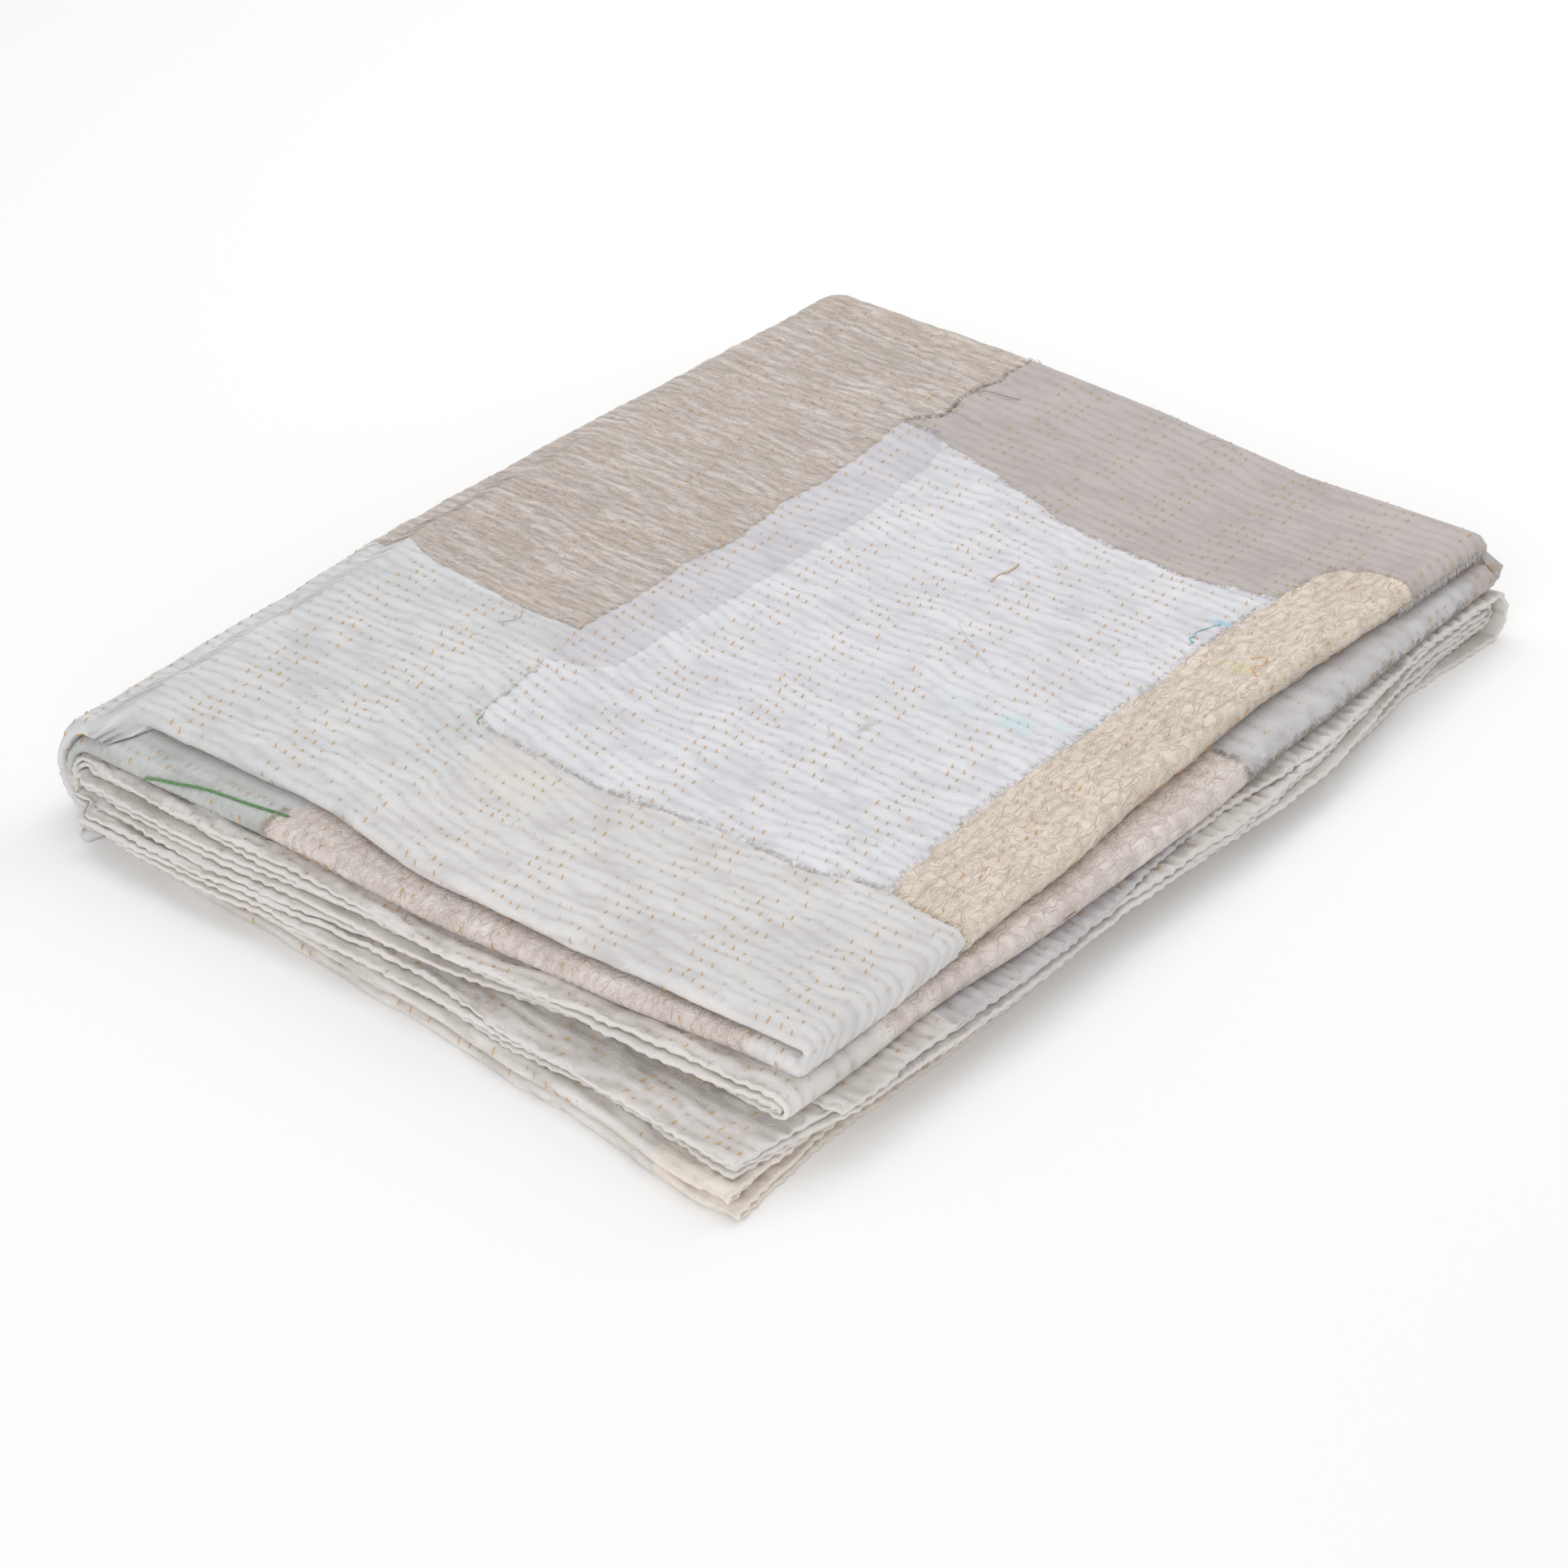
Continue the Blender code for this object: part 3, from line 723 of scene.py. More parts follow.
def cloth_colour(tree, uv, fleck, base, crest, valley, silky, stains):
    """Painted shade in the valleys and a painted highlight on the ridges, slow blotches of washing and age,
    and any stains.
    """
    rise = add(tree, "ShaderNodeAttribute", {"attribute_name": "rise"}).outputs["Fac"]
    # the quilting's level picks the colour: painted shade towards the valley colour, painted highlight
    # towards the crest colour
    ramp = add(tree, "ShaderNodeValToRGB", inputs={"Fac": rise})
    ramp.color_ramp.elements[0].position = 0.12
    ramp.color_ramp.elements[0].color = linear(valley)
    ramp.color_ramp.elements[1].position = 0.95
    ramp.color_ramp.elements[1].color = linear(crest)
    ramp.color_ramp.elements.new(0.55).color = linear(base)
    blotch = add(tree, "ShaderNodeTexNoise", FLAT_NOISE,
                 {"Vector": uv, "Scale": 14.0, "Detail": 4.0, "Roughness": 0.6})
    tone = add(tree, "ShaderNodeMapRange", inputs={
        "Value": blotch.outputs["Fac"], "From Min": 0.3, "From Max": 0.7, "To Min": 0.955, "To Max": 1.03})
    slub = add(tree, "ShaderNodeMapRange", inputs={
        "Value": fleck, "From Min": 0.25, "From Max": 0.75, "To Min": 0.97 - 0.05 * silky, "To Max": 1.03})
    both = add(tree, "ShaderNodeMath", TIMES, {0: tone.outputs["Result"], 1: slub.outputs["Result"]})
    grey = add(tree, "ShaderNodeCombineColor", inputs={
        channel: both.outputs[0] for channel in ("Red", "Green", "Blue")})
    colour = add(tree, "ShaderNodeMix", {"data_type": "RGBA", "blend_type": "MULTIPLY"},
                 {0: 1.0, 6: ramp.outputs["Color"], 7: grey.outputs["Color"]}).outputs[2]
    for centre, size, stain, strength in stains:
        moved = add(tree, "ShaderNodeMapping", {"vector_type": "TEXTURE"},
                    {"Vector": uv, "Location": (centre[0] + UV_SHIFT[0], centre[1] + UV_SHIFT[1], 0.0),
                     "Scale": (*size, 1.0)})
        away = add(tree, "ShaderNodeVectorMath", {"operation": "LENGTH"}, {0: moved.outputs["Vector"]})
        ragged = add(tree, "ShaderNodeTexNoise", FLAT_NOISE, {"Vector": uv, "Scale": 90.0, "Detail": 3.0})
        reach = add(tree, "ShaderNodeMath", {"operation": "MULTIPLY_ADD"},
                    {0: ragged.outputs["Fac"], 1: 1.6, 2: away.outputs["Value"]})
        share = add(tree, "ShaderNodeMapRange", inputs={
            "Value": reach.outputs[0], "From Min": 1.0, "From Max": 2.0, "To Min": strength, "To Max": 0.0})
        colour = add(tree, "ShaderNodeMix", {"data_type": "RGBA"},
                     {0: share.outputs["Result"], 6: colour, 7: linear(stain)}).outputs[2]
    return colour


def cloth_relief(tree, uv, weave, crease_depth, creases):
    """The weave, the creases that are finer than the mesh, and the slight puckers along the rows."""
    threads = [
        add(tree, "ShaderNodeTexWave", {"wave_type": "BANDS", "bands_direction": way},
            {"Vector": uv, "Scale": 1.0 / weave / 20.0 * math.pi * 2.0, "Distortion": 0.6,
             "Detail": 1.0, "Detail Scale": 2.0}).outputs["Fac"]
        for way in ("X", "Y")
    ]
    cross = add(tree, "ShaderNodeMath", TIMES, {0: threads[0], 1: threads[1]})
    weave_bump = add(tree, "ShaderNodeBump", inputs={
        "Height": cross.outputs[0], "Strength": 0.6, "Distance": weave * 0.10})
    crease_at = add(tree, "ShaderNodeMapping", inputs={
        "Vector": uv, "Scale": (*creases, 1.0), "Rotation": (0.0, 0.0, 0.12)})
    crease = add(tree, "ShaderNodeTexNoise", FLAT_NOISE,
                 {"Vector": crease_at.outputs["Vector"], "Scale": 1.0, "Detail": 3.0, "Roughness": 0.55,
                  "Distortion": 0.8}).outputs["Fac"]
    # a sharp fold runs where the noise passes its middle
    aside = add(tree, "ShaderNodeMath", {"operation": "SUBTRACT"}, {0: crease, 1: 0.5})
    off = add(tree, "ShaderNodeMath", {"operation": "ABSOLUTE"}, {0: aside.outputs[0]})
    line = add(tree, "ShaderNodeMapRange", inputs={
        "Value": off.outputs[0], "From Min": 0.0, "From Max": 0.11, "To Min": 1.0, "To Max": 0.0})
    crisp = add(tree, "ShaderNodeMath", {"operation": "MULTIPLY_ADD"},
                {0: line.outputs["Result"], 1: 0.7, 2: crease})
    crease_bump = add(tree, "ShaderNodeBump", inputs={
        "Height": crisp.outputs[0], "Strength": 1.0, "Distance": crease_depth,
        "Normal": weave_bump.outputs["Normal"]})
    row_at = add(tree, "ShaderNodeMapping", inputs={
        "Vector": uv, "Scale": (1.0 / ROW_SPACING, 1.0 / ROW_SPACING, 1.0)})
    row = add(tree, "ShaderNodeTexWave",
              {"wave_type": "BANDS", "bands_direction": "X", "wave_profile": "SIN"},
              {"Vector": row_at.outputs["Vector"], "Scale": math.pi / 10.0, "Distortion": 1.2,
               "Detail": 1.0, "Detail Scale": 0.4})
    return add(tree, "ShaderNodeBump", inputs={
        "Height": row.outputs["Fac"], "Strength": 0.8, "Distance": 0.00006,
        "Normal": crease_bump.outputs["Normal"]}).outputs["Normal"]


def cloth_material(name, base, crest, valley, roughness, weave, crease_depth, creases, silky, stains):
    """A woven cloth of the quilt: its colour, its weave and creases, and its light."""
    material = bpy.data.materials.new(name)
    material.use_nodes = True
    tree = material.node_tree
    shader = tree.nodes["Principled BSDF"]
    uv = add(tree, "ShaderNodeUVMap", {"uv_map": "flat_cloth"}).outputs["UV"]
    fleck_at = add(tree, "ShaderNodeMapping", inputs={"Vector": uv, "Scale": (260.0, 1300.0, 1.0)})
    fleck = add(tree, "ShaderNodeTexNoise", FLAT_NOISE,
                {"Vector": fleck_at.outputs["Vector"], "Scale": 1.0, "Detail": 2.0}).outputs["Fac"]
    gloss = add(tree, "ShaderNodeMapRange", inputs={
        "Value": fleck, "From Min": 0.2, "From Max": 0.8,
        "To Min": roughness - 0.08, "To Max": roughness + 0.05})
    for socket, given in (
        ("Base Color", cloth_colour(tree, uv, fleck, base, crest, valley, silky, stains)),
        ("Normal", cloth_relief(tree, uv, weave, crease_depth, creases)),
        ("Roughness", gloss.outputs["Result"]),
    ):
        tree.links.new(given, shader.inputs[socket])
    shader.inputs["Sheen Weight"].default_value = 0.20
    shader.inputs["Sheen Roughness"].default_value = 0.45
    shader.inputs["Specular IOR Level"].default_value = 0.35 + 0.2 * silky
    return material


# Worn plain-weave cotton is matt and soft, and looks a little dusty where its nap catches light.
# Old dupion and tabby silk has a satin light on its creases and long slubs in its weft.
# Cotton of this kind has threads 0.4 mm apart, drawn here as 0.8 mm so that they show.
CLOTHS = {
    # name: base, ridge (painted highlight), valley (painted shade), roughness, thread spacing, crease depth,
    # creases a metre, silk
    "silk_tan": ("#cdc1b8", "#dbd1c9", "#c1b4a9", 0.42, 0.0008, 0.00050, (110.0, 300.0), 1.0),
    "silk_strip": ("#d1c4b8", "#dfd4ca", "#c2b4a7", 0.42, 0.0008, 0.00050, (110.0, 300.0), 1.0),
    "silk_cream": ("#dccdbc", "#eadccd", "#c8b7a3", 0.38, 0.0008, 0.00062, (230.0, 110.0), 1.0),
    "silk_pink": ("#d9cdc5", "#e7ddd6", "#bfb2a8", 0.38, 0.0008, 0.00055, (200.0, 130.0), 1.0),
    "cotton_grey": ("#bcb4b0", "#c0b8b4", "#b3aba7", 0.92, 0.0008, 0.00012, (120.0, 240.0), 0.0),
    "cotton_lilac": ("#c5c2c3", "#cdcbcc", "#b4b1b2", 0.90, 0.0008, 0.00016, (110.0, 220.0), 0.0),
    "cotton_white": ("#dedde1", "#e5e4e8", "#cfced3", 0.90, 0.0008, 0.00013, (110.0, 220.0), 0.0),
    "muslin": ("#d0ced2", "#d6d4d8", "#c4c2c7", 0.90, 0.0010, 0.00013, (110.0, 220.0), 0.0),
    "cotton_offwhite": ("#d7d6d7", "#dedddd", "#c8c7c7", 0.90, 0.0008, 0.00013, (110.0, 220.0), 0.0),
    "cotton_warm": ("#d9d7d6", "#dfdddb", "#cbc8c7", 0.90, 0.0008, 0.00013, (110.0, 220.0), 0.0),
    "cotton_mint": ("#c1c3c1", "#cacccb", "#afb1af", 0.90, 0.0008, 0.00016, (110.0, 220.0), 0.0),
    "cotton_cream": ("#e6ddd3", "#ece4da", "#d2c8bd", 0.90, 0.0008, 0.00016, (110.0, 220.0), 0.0),
    "cotton_worn": ("#dbd6d1", "#e1ddd9", "#c6c0ba", 0.90, 0.0008, 0.00016, (110.0, 220.0), 0.0),
}


def stitch_tree():
    """Geometry Nodes that lay one short arched thread on every point."""
    tree = bpy.data.node_groups.new("thread_on_points", "GeometryNodeTree")
    tree.interface.new_socket("Geometry", in_out="INPUT", socket_type="NodeSocketGeometry")
    for name, kind in (
        ("Length", "NodeSocketFloat"),
        ("Thickness", "NodeSocketFloat"),
        ("Arch", "NodeSocketFloat"),
        ("Sides", "NodeSocketInt"),
        ("Segments", "NodeSocketInt"),
        ("Unevenness", "NodeSocketFloat"),
        ("Material", "NodeSocketMaterial"),
    ):
        tree.interface.new_socket(name, in_out="INPUT", socket_type=kind)
    tree.interface.new_socket("Geometry", in_out="OUTPUT", socket_type="NodeSocketGeometry")
    given = tree.nodes.new("NodeGroupInput").outputs
    half = add(tree, "ShaderNodeMath", TIMES, {0: given["Length"], 1: 0.5}).outputs[0]
    back = add(tree, "ShaderNodeMath", TIMES, {0: given["Length"], 1: -0.5}).outputs[0]
    start = add(tree, "ShaderNodeCombineXYZ", inputs={"X": back}).outputs[0]
    end = add(tree, "ShaderNodeCombineXYZ", inputs={"X": half}).outputs[0]
    top = add(tree, "ShaderNodeCombineXYZ", inputs={"Z": given["Arch"]}).outputs[0]
    arc = add(tree, "GeometryNodeCurveQuadraticBezier",
              inputs={"Resolution": given["Segments"], "Start": start, "Middle": top, "End": end})
    along = add(tree, "GeometryNodeSplineParameter").outputs["Factor"]
    shape = add(tree, "ShaderNodeMath", {"operation": "PINGPONG"}, {0: along, 1: 0.5}).outputs[0]
    wide = add(tree, "ShaderNodeMapRange", inputs={
        "Value": shape, "From Min": 0.0, "From Max": 0.3, "To Min": 0.35, "To Max": 1.0}).outputs["Result"]
    radius = add(tree, "ShaderNodeMath", TIMES, {0: given["Thickness"], 1: 0.5}).outputs[0]
    ring = add(tree, "GeometryNodeCurvePrimitiveCircle",
               inputs={"Resolution": given["Sides"], "Radius": radius})
    tube = add(tree, "GeometryNodeCurveToMesh", inputs={
        "Curve": arc.outputs[0], "Profile Curve": ring.outputs[0], "Scale": wide, "Fill Caps": True})
    # each point carries the thread's way along the cloth and the way out of it
    kind = {"data_type": "FLOAT_VECTOR"}
    way = add(tree, "GeometryNodeInputNamedAttribute", kind, {"Name": "way"})
    upward = add(tree, "GeometryNodeInputNamedAttribute", kind, {"Name": "upward"})
    turned = add(tree, "FunctionNodeAxesToRotation", {"primary_axis": "X", "secondary_axis": "Z"},
                 {"Primary Axis": way.outputs[0], "Secondary Axis": upward.outputs[0]})
    less, more = (
        add(tree, "ShaderNodeMath", {"operation": operation}, {0: 1.0, 1: given["Unevenness"]}).outputs[0]
        for operation in ("SUBTRACT", "ADD")
    )
    # sockets 2 and 3 are the lowest and highest of the random numbers
    size = add(tree, "FunctionNodeRandomValue", {"data_type": "FLOAT"}, {2: less, 3: more, "Seed": 4})
    scale = add(tree, "ShaderNodeCombineXYZ", inputs={"X": size.outputs[1], "Y": 1.0, "Z": 1.0}).outputs[0]
    laid = add(tree, "GeometryNodeInstanceOnPoints", inputs={
        "Points": given["Geometry"], "Instance": tube.outputs[0], "Rotation": turned.outputs[0],
        "Scale": scale})
    real = add(tree, "GeometryNodeRealizeInstances", inputs={"Geometry": laid.outputs[0]})
    soft = add(tree, "GeometryNodeSetShadeSmooth", inputs={"Geometry": real.outputs[0]})
    named = add(tree, "GeometryNodeSetMaterial", inputs={
        "Geometry": soft.outputs[0], "Material": given["Material"]})
    result = tree.nodes.new("NodeGroupOutput")
    tree.links.new(named.outputs[0], result.inputs["Geometry"])
    return tree


def lay_threads(name, spots, ways, ups, material, **sizes):
    """One plain mesh of short threads, one at each spot."""
    mesh = bpy.data.meshes.new(name + "_points")
    mesh.from_pydata(spots.tolist(), [], [])
    for label, values in (("way", ways), ("upward", ups)):
        layer = mesh.attributes.new(label, "FLOAT_VECTOR", "POINT")
        layer.data.foreach_set("vector", values.astype(np.float32).ravel())
    thing = bpy.data.objects.new(name + "_points", mesh)
    bpy.context.scene.collection.objects.link(thing)
    tree = bpy.data.node_groups.get("thread_on_points") or stitch_tree()
    modifier = thing.modifiers.new("threads", "NODES")
    modifier.node_group = tree
    wanted = dict(sizes, Material=material)
    for item in tree.interface.items_tree:
        if item.in_out == "INPUT" and item.name in wanted:
            modifier[item.identifier] = wanted[item.name]
    thing.update_tag()
    bpy.context.view_layer.update()
    ready = thing.evaluated_get(bpy.context.evaluated_depsgraph_get())
    plain = bpy.data.meshes.new_from_object(ready)
    plain.name = name
    thing.modifiers.clear()
    bpy.data.objects.remove(thing, do_unlink=True)
    made = bpy.data.objects.new(name, plain)
    bpy.context.scene.collection.objects.link(made)
    if not plain.materials:
        plain.materials.append(material)
    return made


def finish_piece(piece):
    """The piece rides with the quilt."""
    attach(piece, "root")


def surface(u, v, cuts, sizes, lift, side=1.0):
    """Points on a face of the quilt, its outer one or its inner one, and the ways out of it."""
    cloth = cuts.cloth_at(np.column_stack([u, v]))
    side = side + u * 0.0
    outer, inner = (relief(u, v, cloth, cuts, sizes, face)[0] for face in (False, True))
    up = np.where(side > 0.0, outer, inner)
    t = side * SHEET / 2.0
    here = place(u, v, t, up + lift)
    out = place(u, v, t, up + lift + 0.0005) - here
    out /= np.linalg.norm(out, axis=1)[:, None]
    return here, out


def thread_material(name, base, roughness):
    """Twisted sewing thread: fine turns of light and dark along it."""
    material = bpy.data.materials.new(name)
    material.use_nodes = True
    tree = material.node_tree
    shader = tree.nodes["Principled BSDF"]
    where = add(tree, "ShaderNodeTexCoord").outputs["Object"]
    noise = add(tree, "ShaderNodeTexNoise", inputs={"Vector": where, "Scale": 700.0, "Detail": 2.0})
    ramp = add(tree, "ShaderNodeValToRGB", inputs={"Fac": noise.outputs["Fac"]})
    full = linear(base) if isinstance(base, str) else base
    ramp.color_ramp.elements[0].position = 0.35
    ramp.color_ramp.elements[0].color = (full[0] * 0.80, full[1] * 0.74, full[2] * 0.66, 1.0)
    ramp.color_ramp.elements[1].position = 0.65
    ramp.color_ramp.elements[1].color = full
    tree.links.new(ramp.outputs["Color"], shader.inputs["Base Color"])
    # the ply of the thread, 0.3 mm a turn
    ply = add(tree, "ShaderNodeTexNoise", inputs={"Vector": where, "Scale": 3300.0, "Detail": 1.0})
    bump = add(tree, "ShaderNodeBump", inputs={
        "Height": ply.outputs["Fac"], "Strength": 0.5, "Distance": 0.00005})
    tree.links.new(bump.outputs["Normal"], shader.inputs["Normal"])
    shader.inputs["Roughness"].default_value = roughness
    shader.inputs["Sheen Weight"].default_value = 0.2
    return material


# Where the running stitches show: from u to u and from v to v on the flat cloth, on which face, and
# the shares of the orange rows' and the pale rows' stitches that are there.
STITCHED = (
    (-0.262, 0.226, -0.297, 0.312, 1.0, 0.80, 0.42),
    (U0 + 0.02, -0.262, -0.300, -0.264, 1.0, 0.55, 0.3),
    (0.226, U1 - 0.02, -0.300, -0.264, 1.0, 0.45, 0.2),
    (0.196, 0.240, 0.315, V1 - 0.02, 1.0, 0.55, 0.3),
    (0.213, 0.690, 0.858, V1 - 0.002, 1.0, 0.95, 0.8),
    (U0 + 0.002, U0 + 0.018, 0.310, V1 - 0.003, 1.0, 0.6, 0.5),
    (U0 + 0.003, -0.240, V0 + 0.002, V0 + 0.036, -1.0, 0.9, 0.7),
    (U0 + 0.003, U0 + 0.014, V0 + 0.036, -0.900, -1.0, 0.6, 0.5),
)
THREAD_LIFT = 0.00012  # a thread's middle over the cloth
STITCH_GAP = 0.0050  # two stitches of a row are never closer
STITCH_SLANT = -0.34  # how far a stitch turns from lying along its row


def stitch_spots(sizes, cuts):
    """The running stitches' flat places and ways, whether each is orange, and its side of the cloth."""
    rng = np.random.default_rng(71)
    spots = []
    strays = np.array([traits[2] for traits in DEPTH.values()])
    silks = [list(DEPTH).index(name) for name in ("silk_cream", "silk_tan", "silk_strip")]
    for a, b, c, d, side, much, little in STITCHED:
        # the rows lean, so some that start outside the area are tried too
        first = math.ceil((a - 0.08) / sizes.row_spacing)
        last = math.floor((b + 0.08) / sizes.row_spacing)
        for row in range(first, last + 1):
            v = np.arange(c, d, 0.00025)
            u = row * sizes.row_spacing - ROW_LEAN * v
            u -= row_wave(u, v)
            cloth = cuts.cloth_at(np.column_stack([u, v]))
            # thread sinks into the silks and hardly shows there, but for the strip's folded edge
            shown = np.where(np.isin(cloth, silks) & (u < 0.186), 0.30, 1.0)
            # a stitch lies over each valley of the quilting
            turn = ridge_phase(u, v, sizes.ridge_pitch, strays[cloth]) - math.pi
            turn = (turn + math.pi) % (2.0 * math.pi) - math.pi
            cross = (np.abs(np.diff(turn)) < 1.0) & (turn[:-1] < 0.0) & (turn[1:] >= 0.0)
            # four rows in every eight are orange, and now and then a row fades out for some way
            colour = (row + 6) % 8 < 4
            worn = 0.55 + 0.45 * rough(u, v, 0.045, 73)
            before = -math.inf
            for k in np.where(cross)[0]:
                chance = (much if colour else little) * min(1.0, 0.55 + worn[k]) * shown[k]
                if rng.random() > chance or v[k] - before < STITCH_GAP or not a < u[k] < b:
                    continue
                before = v[k]
                is_orange = (colour and rng.random() < 0.88) or rng.random() < 0.10
                spots.append((u[k] + rng.normal(0.0, 0.00045), v[k] + rng.normal(0.0, 0.00060),
                              STITCH_SLANT + rng.normal(0.0, 0.13), 1.0, is_orange, side))
    spots = np.array(spots, float)
    return spots[:, 0], spots[:, 1], spots[:, 2:4], spots[:, 4] > 0.5, spots[:, 5]


# The cloth whose fibres stand out along each torn edge of the top.
FRAYED = {
    "white_front": "white", "grey_white": "white", "grey_gauze": "white", "white_left": "white",
    "tan_grey": "grey", "strip_grey": "grey", "grey_cream": "silk", "cream_end": "silk",
    "tan_white": "white", "white_cream": "white", "tan_left": "white",
}
THICKLY_FRAYED = ("tan_grey", "white_front", "grey_gauze")


def fray_spots(cuts):
    """Flat places and ways of the short fibres along the torn edges, for each of the fibres' cloths."""
    rng = np.random.default_rng(81)
    found = {"white": [], "grey": [], "silk": []}
    for name, kind in FRAYED.items():
        line, sides, (*_, over, torn) = cuts.lines[name], cuts.sides[name], SEAMS[name]
        thick = 2.2 if name in THICKLY_FRAYED else 1.0 if torn > 0.5 else 0.5
        for k in range(1, len(line) - 1):
            for _ in range(rng.poisson(thick * 1.5)):
                way = -over * sides[k] * rng.uniform(0.4, 1.0)
                way = way + rng.uniform(-1.0, 1.0) * np.array([-sides[k][1], sides[k][0]])
                found[kind].append((*(line[k] + way * 0.0006), *way))
    # the raw seams on the sides
    for _ in range(90):
        found["silk"].append((0.533 + rng.normal(0, 0.0006), rng.uniform(-0.300, -0.268),
                              rng.normal(0.6, 0.6), rng.normal(0, 0.7)))
        found["grey"].append((rng.uniform(0.205, 0.240), 0.549 + rng.normal(0, 0.0010),
                              rng.normal(-0.2, 0.5), rng.normal(0.8, 0.6)))
    for _ in range(420):
        found["grey"].append((0.2165 + rng.normal(0, 0.0012), rng.uniform(0.330, 0.549),
                              rng.normal(-0.9, 0.3), rng.normal(0.3, 0.6)))
        found["white"].append((0.2180 + rng.normal(0, 0.0008), rng.uniform(0.205, 0.281),
                               rng.normal(0.9, 0.4), rng.normal(0.2, 0.6)))
    # a little fluff on the hems
    edge = 0.0008
    for _ in range(1100):
        side = rng.integers(4)
        u, v = rng.uniform(U0, U1), rng.uniform(V0, V1)
        if side < 2:
            u = U0 + edge if side == 0 else U1 - edge
            found["white"].append((u, v, -1.0 if side == 0 else 1.0, rng.normal(0, 1.0)))
        else:
            v = V0 + edge if side == 2 else V1 - edge
            found["white"].append((u, v, rng.normal(0, 1.0), -1.0 if side == 2 else 1.0))
    return {kind: np.array(rows) for kind, rows in found.items()}


def ways_on_cloth(u, v, ways, cuts, sizes, step, side=1.0):
    """Each flat way as a way over the quilt's face, and the middle between its two ends."""
    ways = ways / np.linalg.norm(ways, axis=1)[:, None] * step
    ahead, behind = (
        surface(u + sign * ways[:, 0], v + sign * ways[:, 1], cuts, sizes, THREAD_LIFT, side)[0]
        for sign in (1.0, -1.0)
    )
    way = ahead - behind
    return way / np.linalg.norm(way, axis=1)[:, None], (ahead + behind) / 2.0


class QuiltSizes(bpy.types.PropertyGroup):
    """Sizes of the quilting and its threads."""

    ridge_pitch: FloatProperty(
        name="Ridge spacing", description="From one ridge to the next, one running stitch",
        default=0.0079, min=0.004, max=0.02, unit="LENGTH")
    ridge_height: FloatProperty(
        name="Ridge height", description="Depth of the quilting in the white cotton",
        default=0.0014, min=0.0, max=0.004, unit="LENGTH")
    row_spacing: FloatProperty(
        name="Row spacing", description="From one row of running stitch to the next",
        default=ROW_SPACING, min=0.003, max=0.02, unit="LENGTH")
    seam_height: FloatProperty(
        name="Patch edge", description="How far a patch's edge stands over its neighbour",
        default=0.00045, min=0.0, max=0.002, unit="LENGTH")
    stitch_length: FloatProperty(
        name="Stitch length", description="Thread that shows in one stitch",
        default=0.0033, min=0.001, max=0.01, unit="LENGTH")
    thread_width: FloatProperty(
        name="Thread width", description="Thickness of the quilting thread",
        default=0.00055, min=0.0002, max=0.002, unit="LENGTH")


class QuiltColours(bpy.types.PropertyGroup):
    """Colours of the threads and the floor; the cloths' own are in CLOTHS."""

    orange: FloatVectorProperty(
        name="Orange thread", description="The thread of the rows that show",
        subtype="COLOR", size=4, min=0.0, max=1.0, default=linear("#e3b36c"))
    pale: FloatVectorProperty(
        name="Pale thread", description="The thread of the other rows",
        subtype="COLOR", size=4, min=0.0, max=1.0, default=linear("#dcd8d3"))
    floor: FloatVectorProperty(
        name="Floor", description="The plain floor under the quilt",
        subtype="COLOR", size=4, min=0.0, max=1.0, default=linear("#ffffff"))


# Stains and washed-out colour: millimetres on the stack's top, size in metres, colour, strength.
STAINS = {
    "cotton_white": (
        ((126, -16), (0.013, 0.008), "#bfe0e4", 0.50), ((95, -15), (0.016, 0.010), "#cfe6e8", 0.35),
        ((143, -4), (0.010, 0.005), "#c4e2e5", 0.40), ((160, 7), (0.010, 0.004), "#bfe2e6", 0.45),
        ((148, 124), (0.007, 0.0030), "#8cc6dc", 0.75), ((74, -63), (0.0030, 0.0085), "#b4b4b4", 0.8),
        ((30, -30), (0.060, 0.020), "#d6d9dc", 0.30), ((-20, 60), (0.080, 0.030), "#d9dade", 0.25),
    ),
    "silk_cream": (
        ((178, 95), (0.012, 0.005), "#dfdc9c", 0.50), ((198, 99), (0.010, 0.006), "#e0de9c", 0.55),
    ),
    "cotton_offwhite": (
        ((-108, -86), (0.034, 0.014), "#c6c5c9", 0.55), ((-150, -85), (0.030, 0.008), "#c8c7ca", 0.40),
    ),
    "cotton_warm": (((-30, -190), (0.030, 0.020), "#e6dccb", 0.30),),
}


class KANTHA_OT_cloth(bpy.types.Operator):
    """Makes the patched and quilted cloth, folded, in place of the plain solid"""

    bl_idname = "kantha.cloth"
    bl_label = "Quilt cloth"

    def execute(self, context):
        mesh = cloth_mesh(context.scene.quilt_sizes)
        piece = bpy.data.objects.new("quilt_cloth", mesh)
        context.scene.collection.objects.link(piece)
        for name in DEPTH:
            stains = [(from_top([spot])[0], *rest) for spot, *rest in STAINS.get(name, ())]
            mesh.materials.append(cloth_material(name, *CLOTHS[name], stains))
        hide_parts("quilt")
        finish_piece(piece)
        return {"FINISHED"}


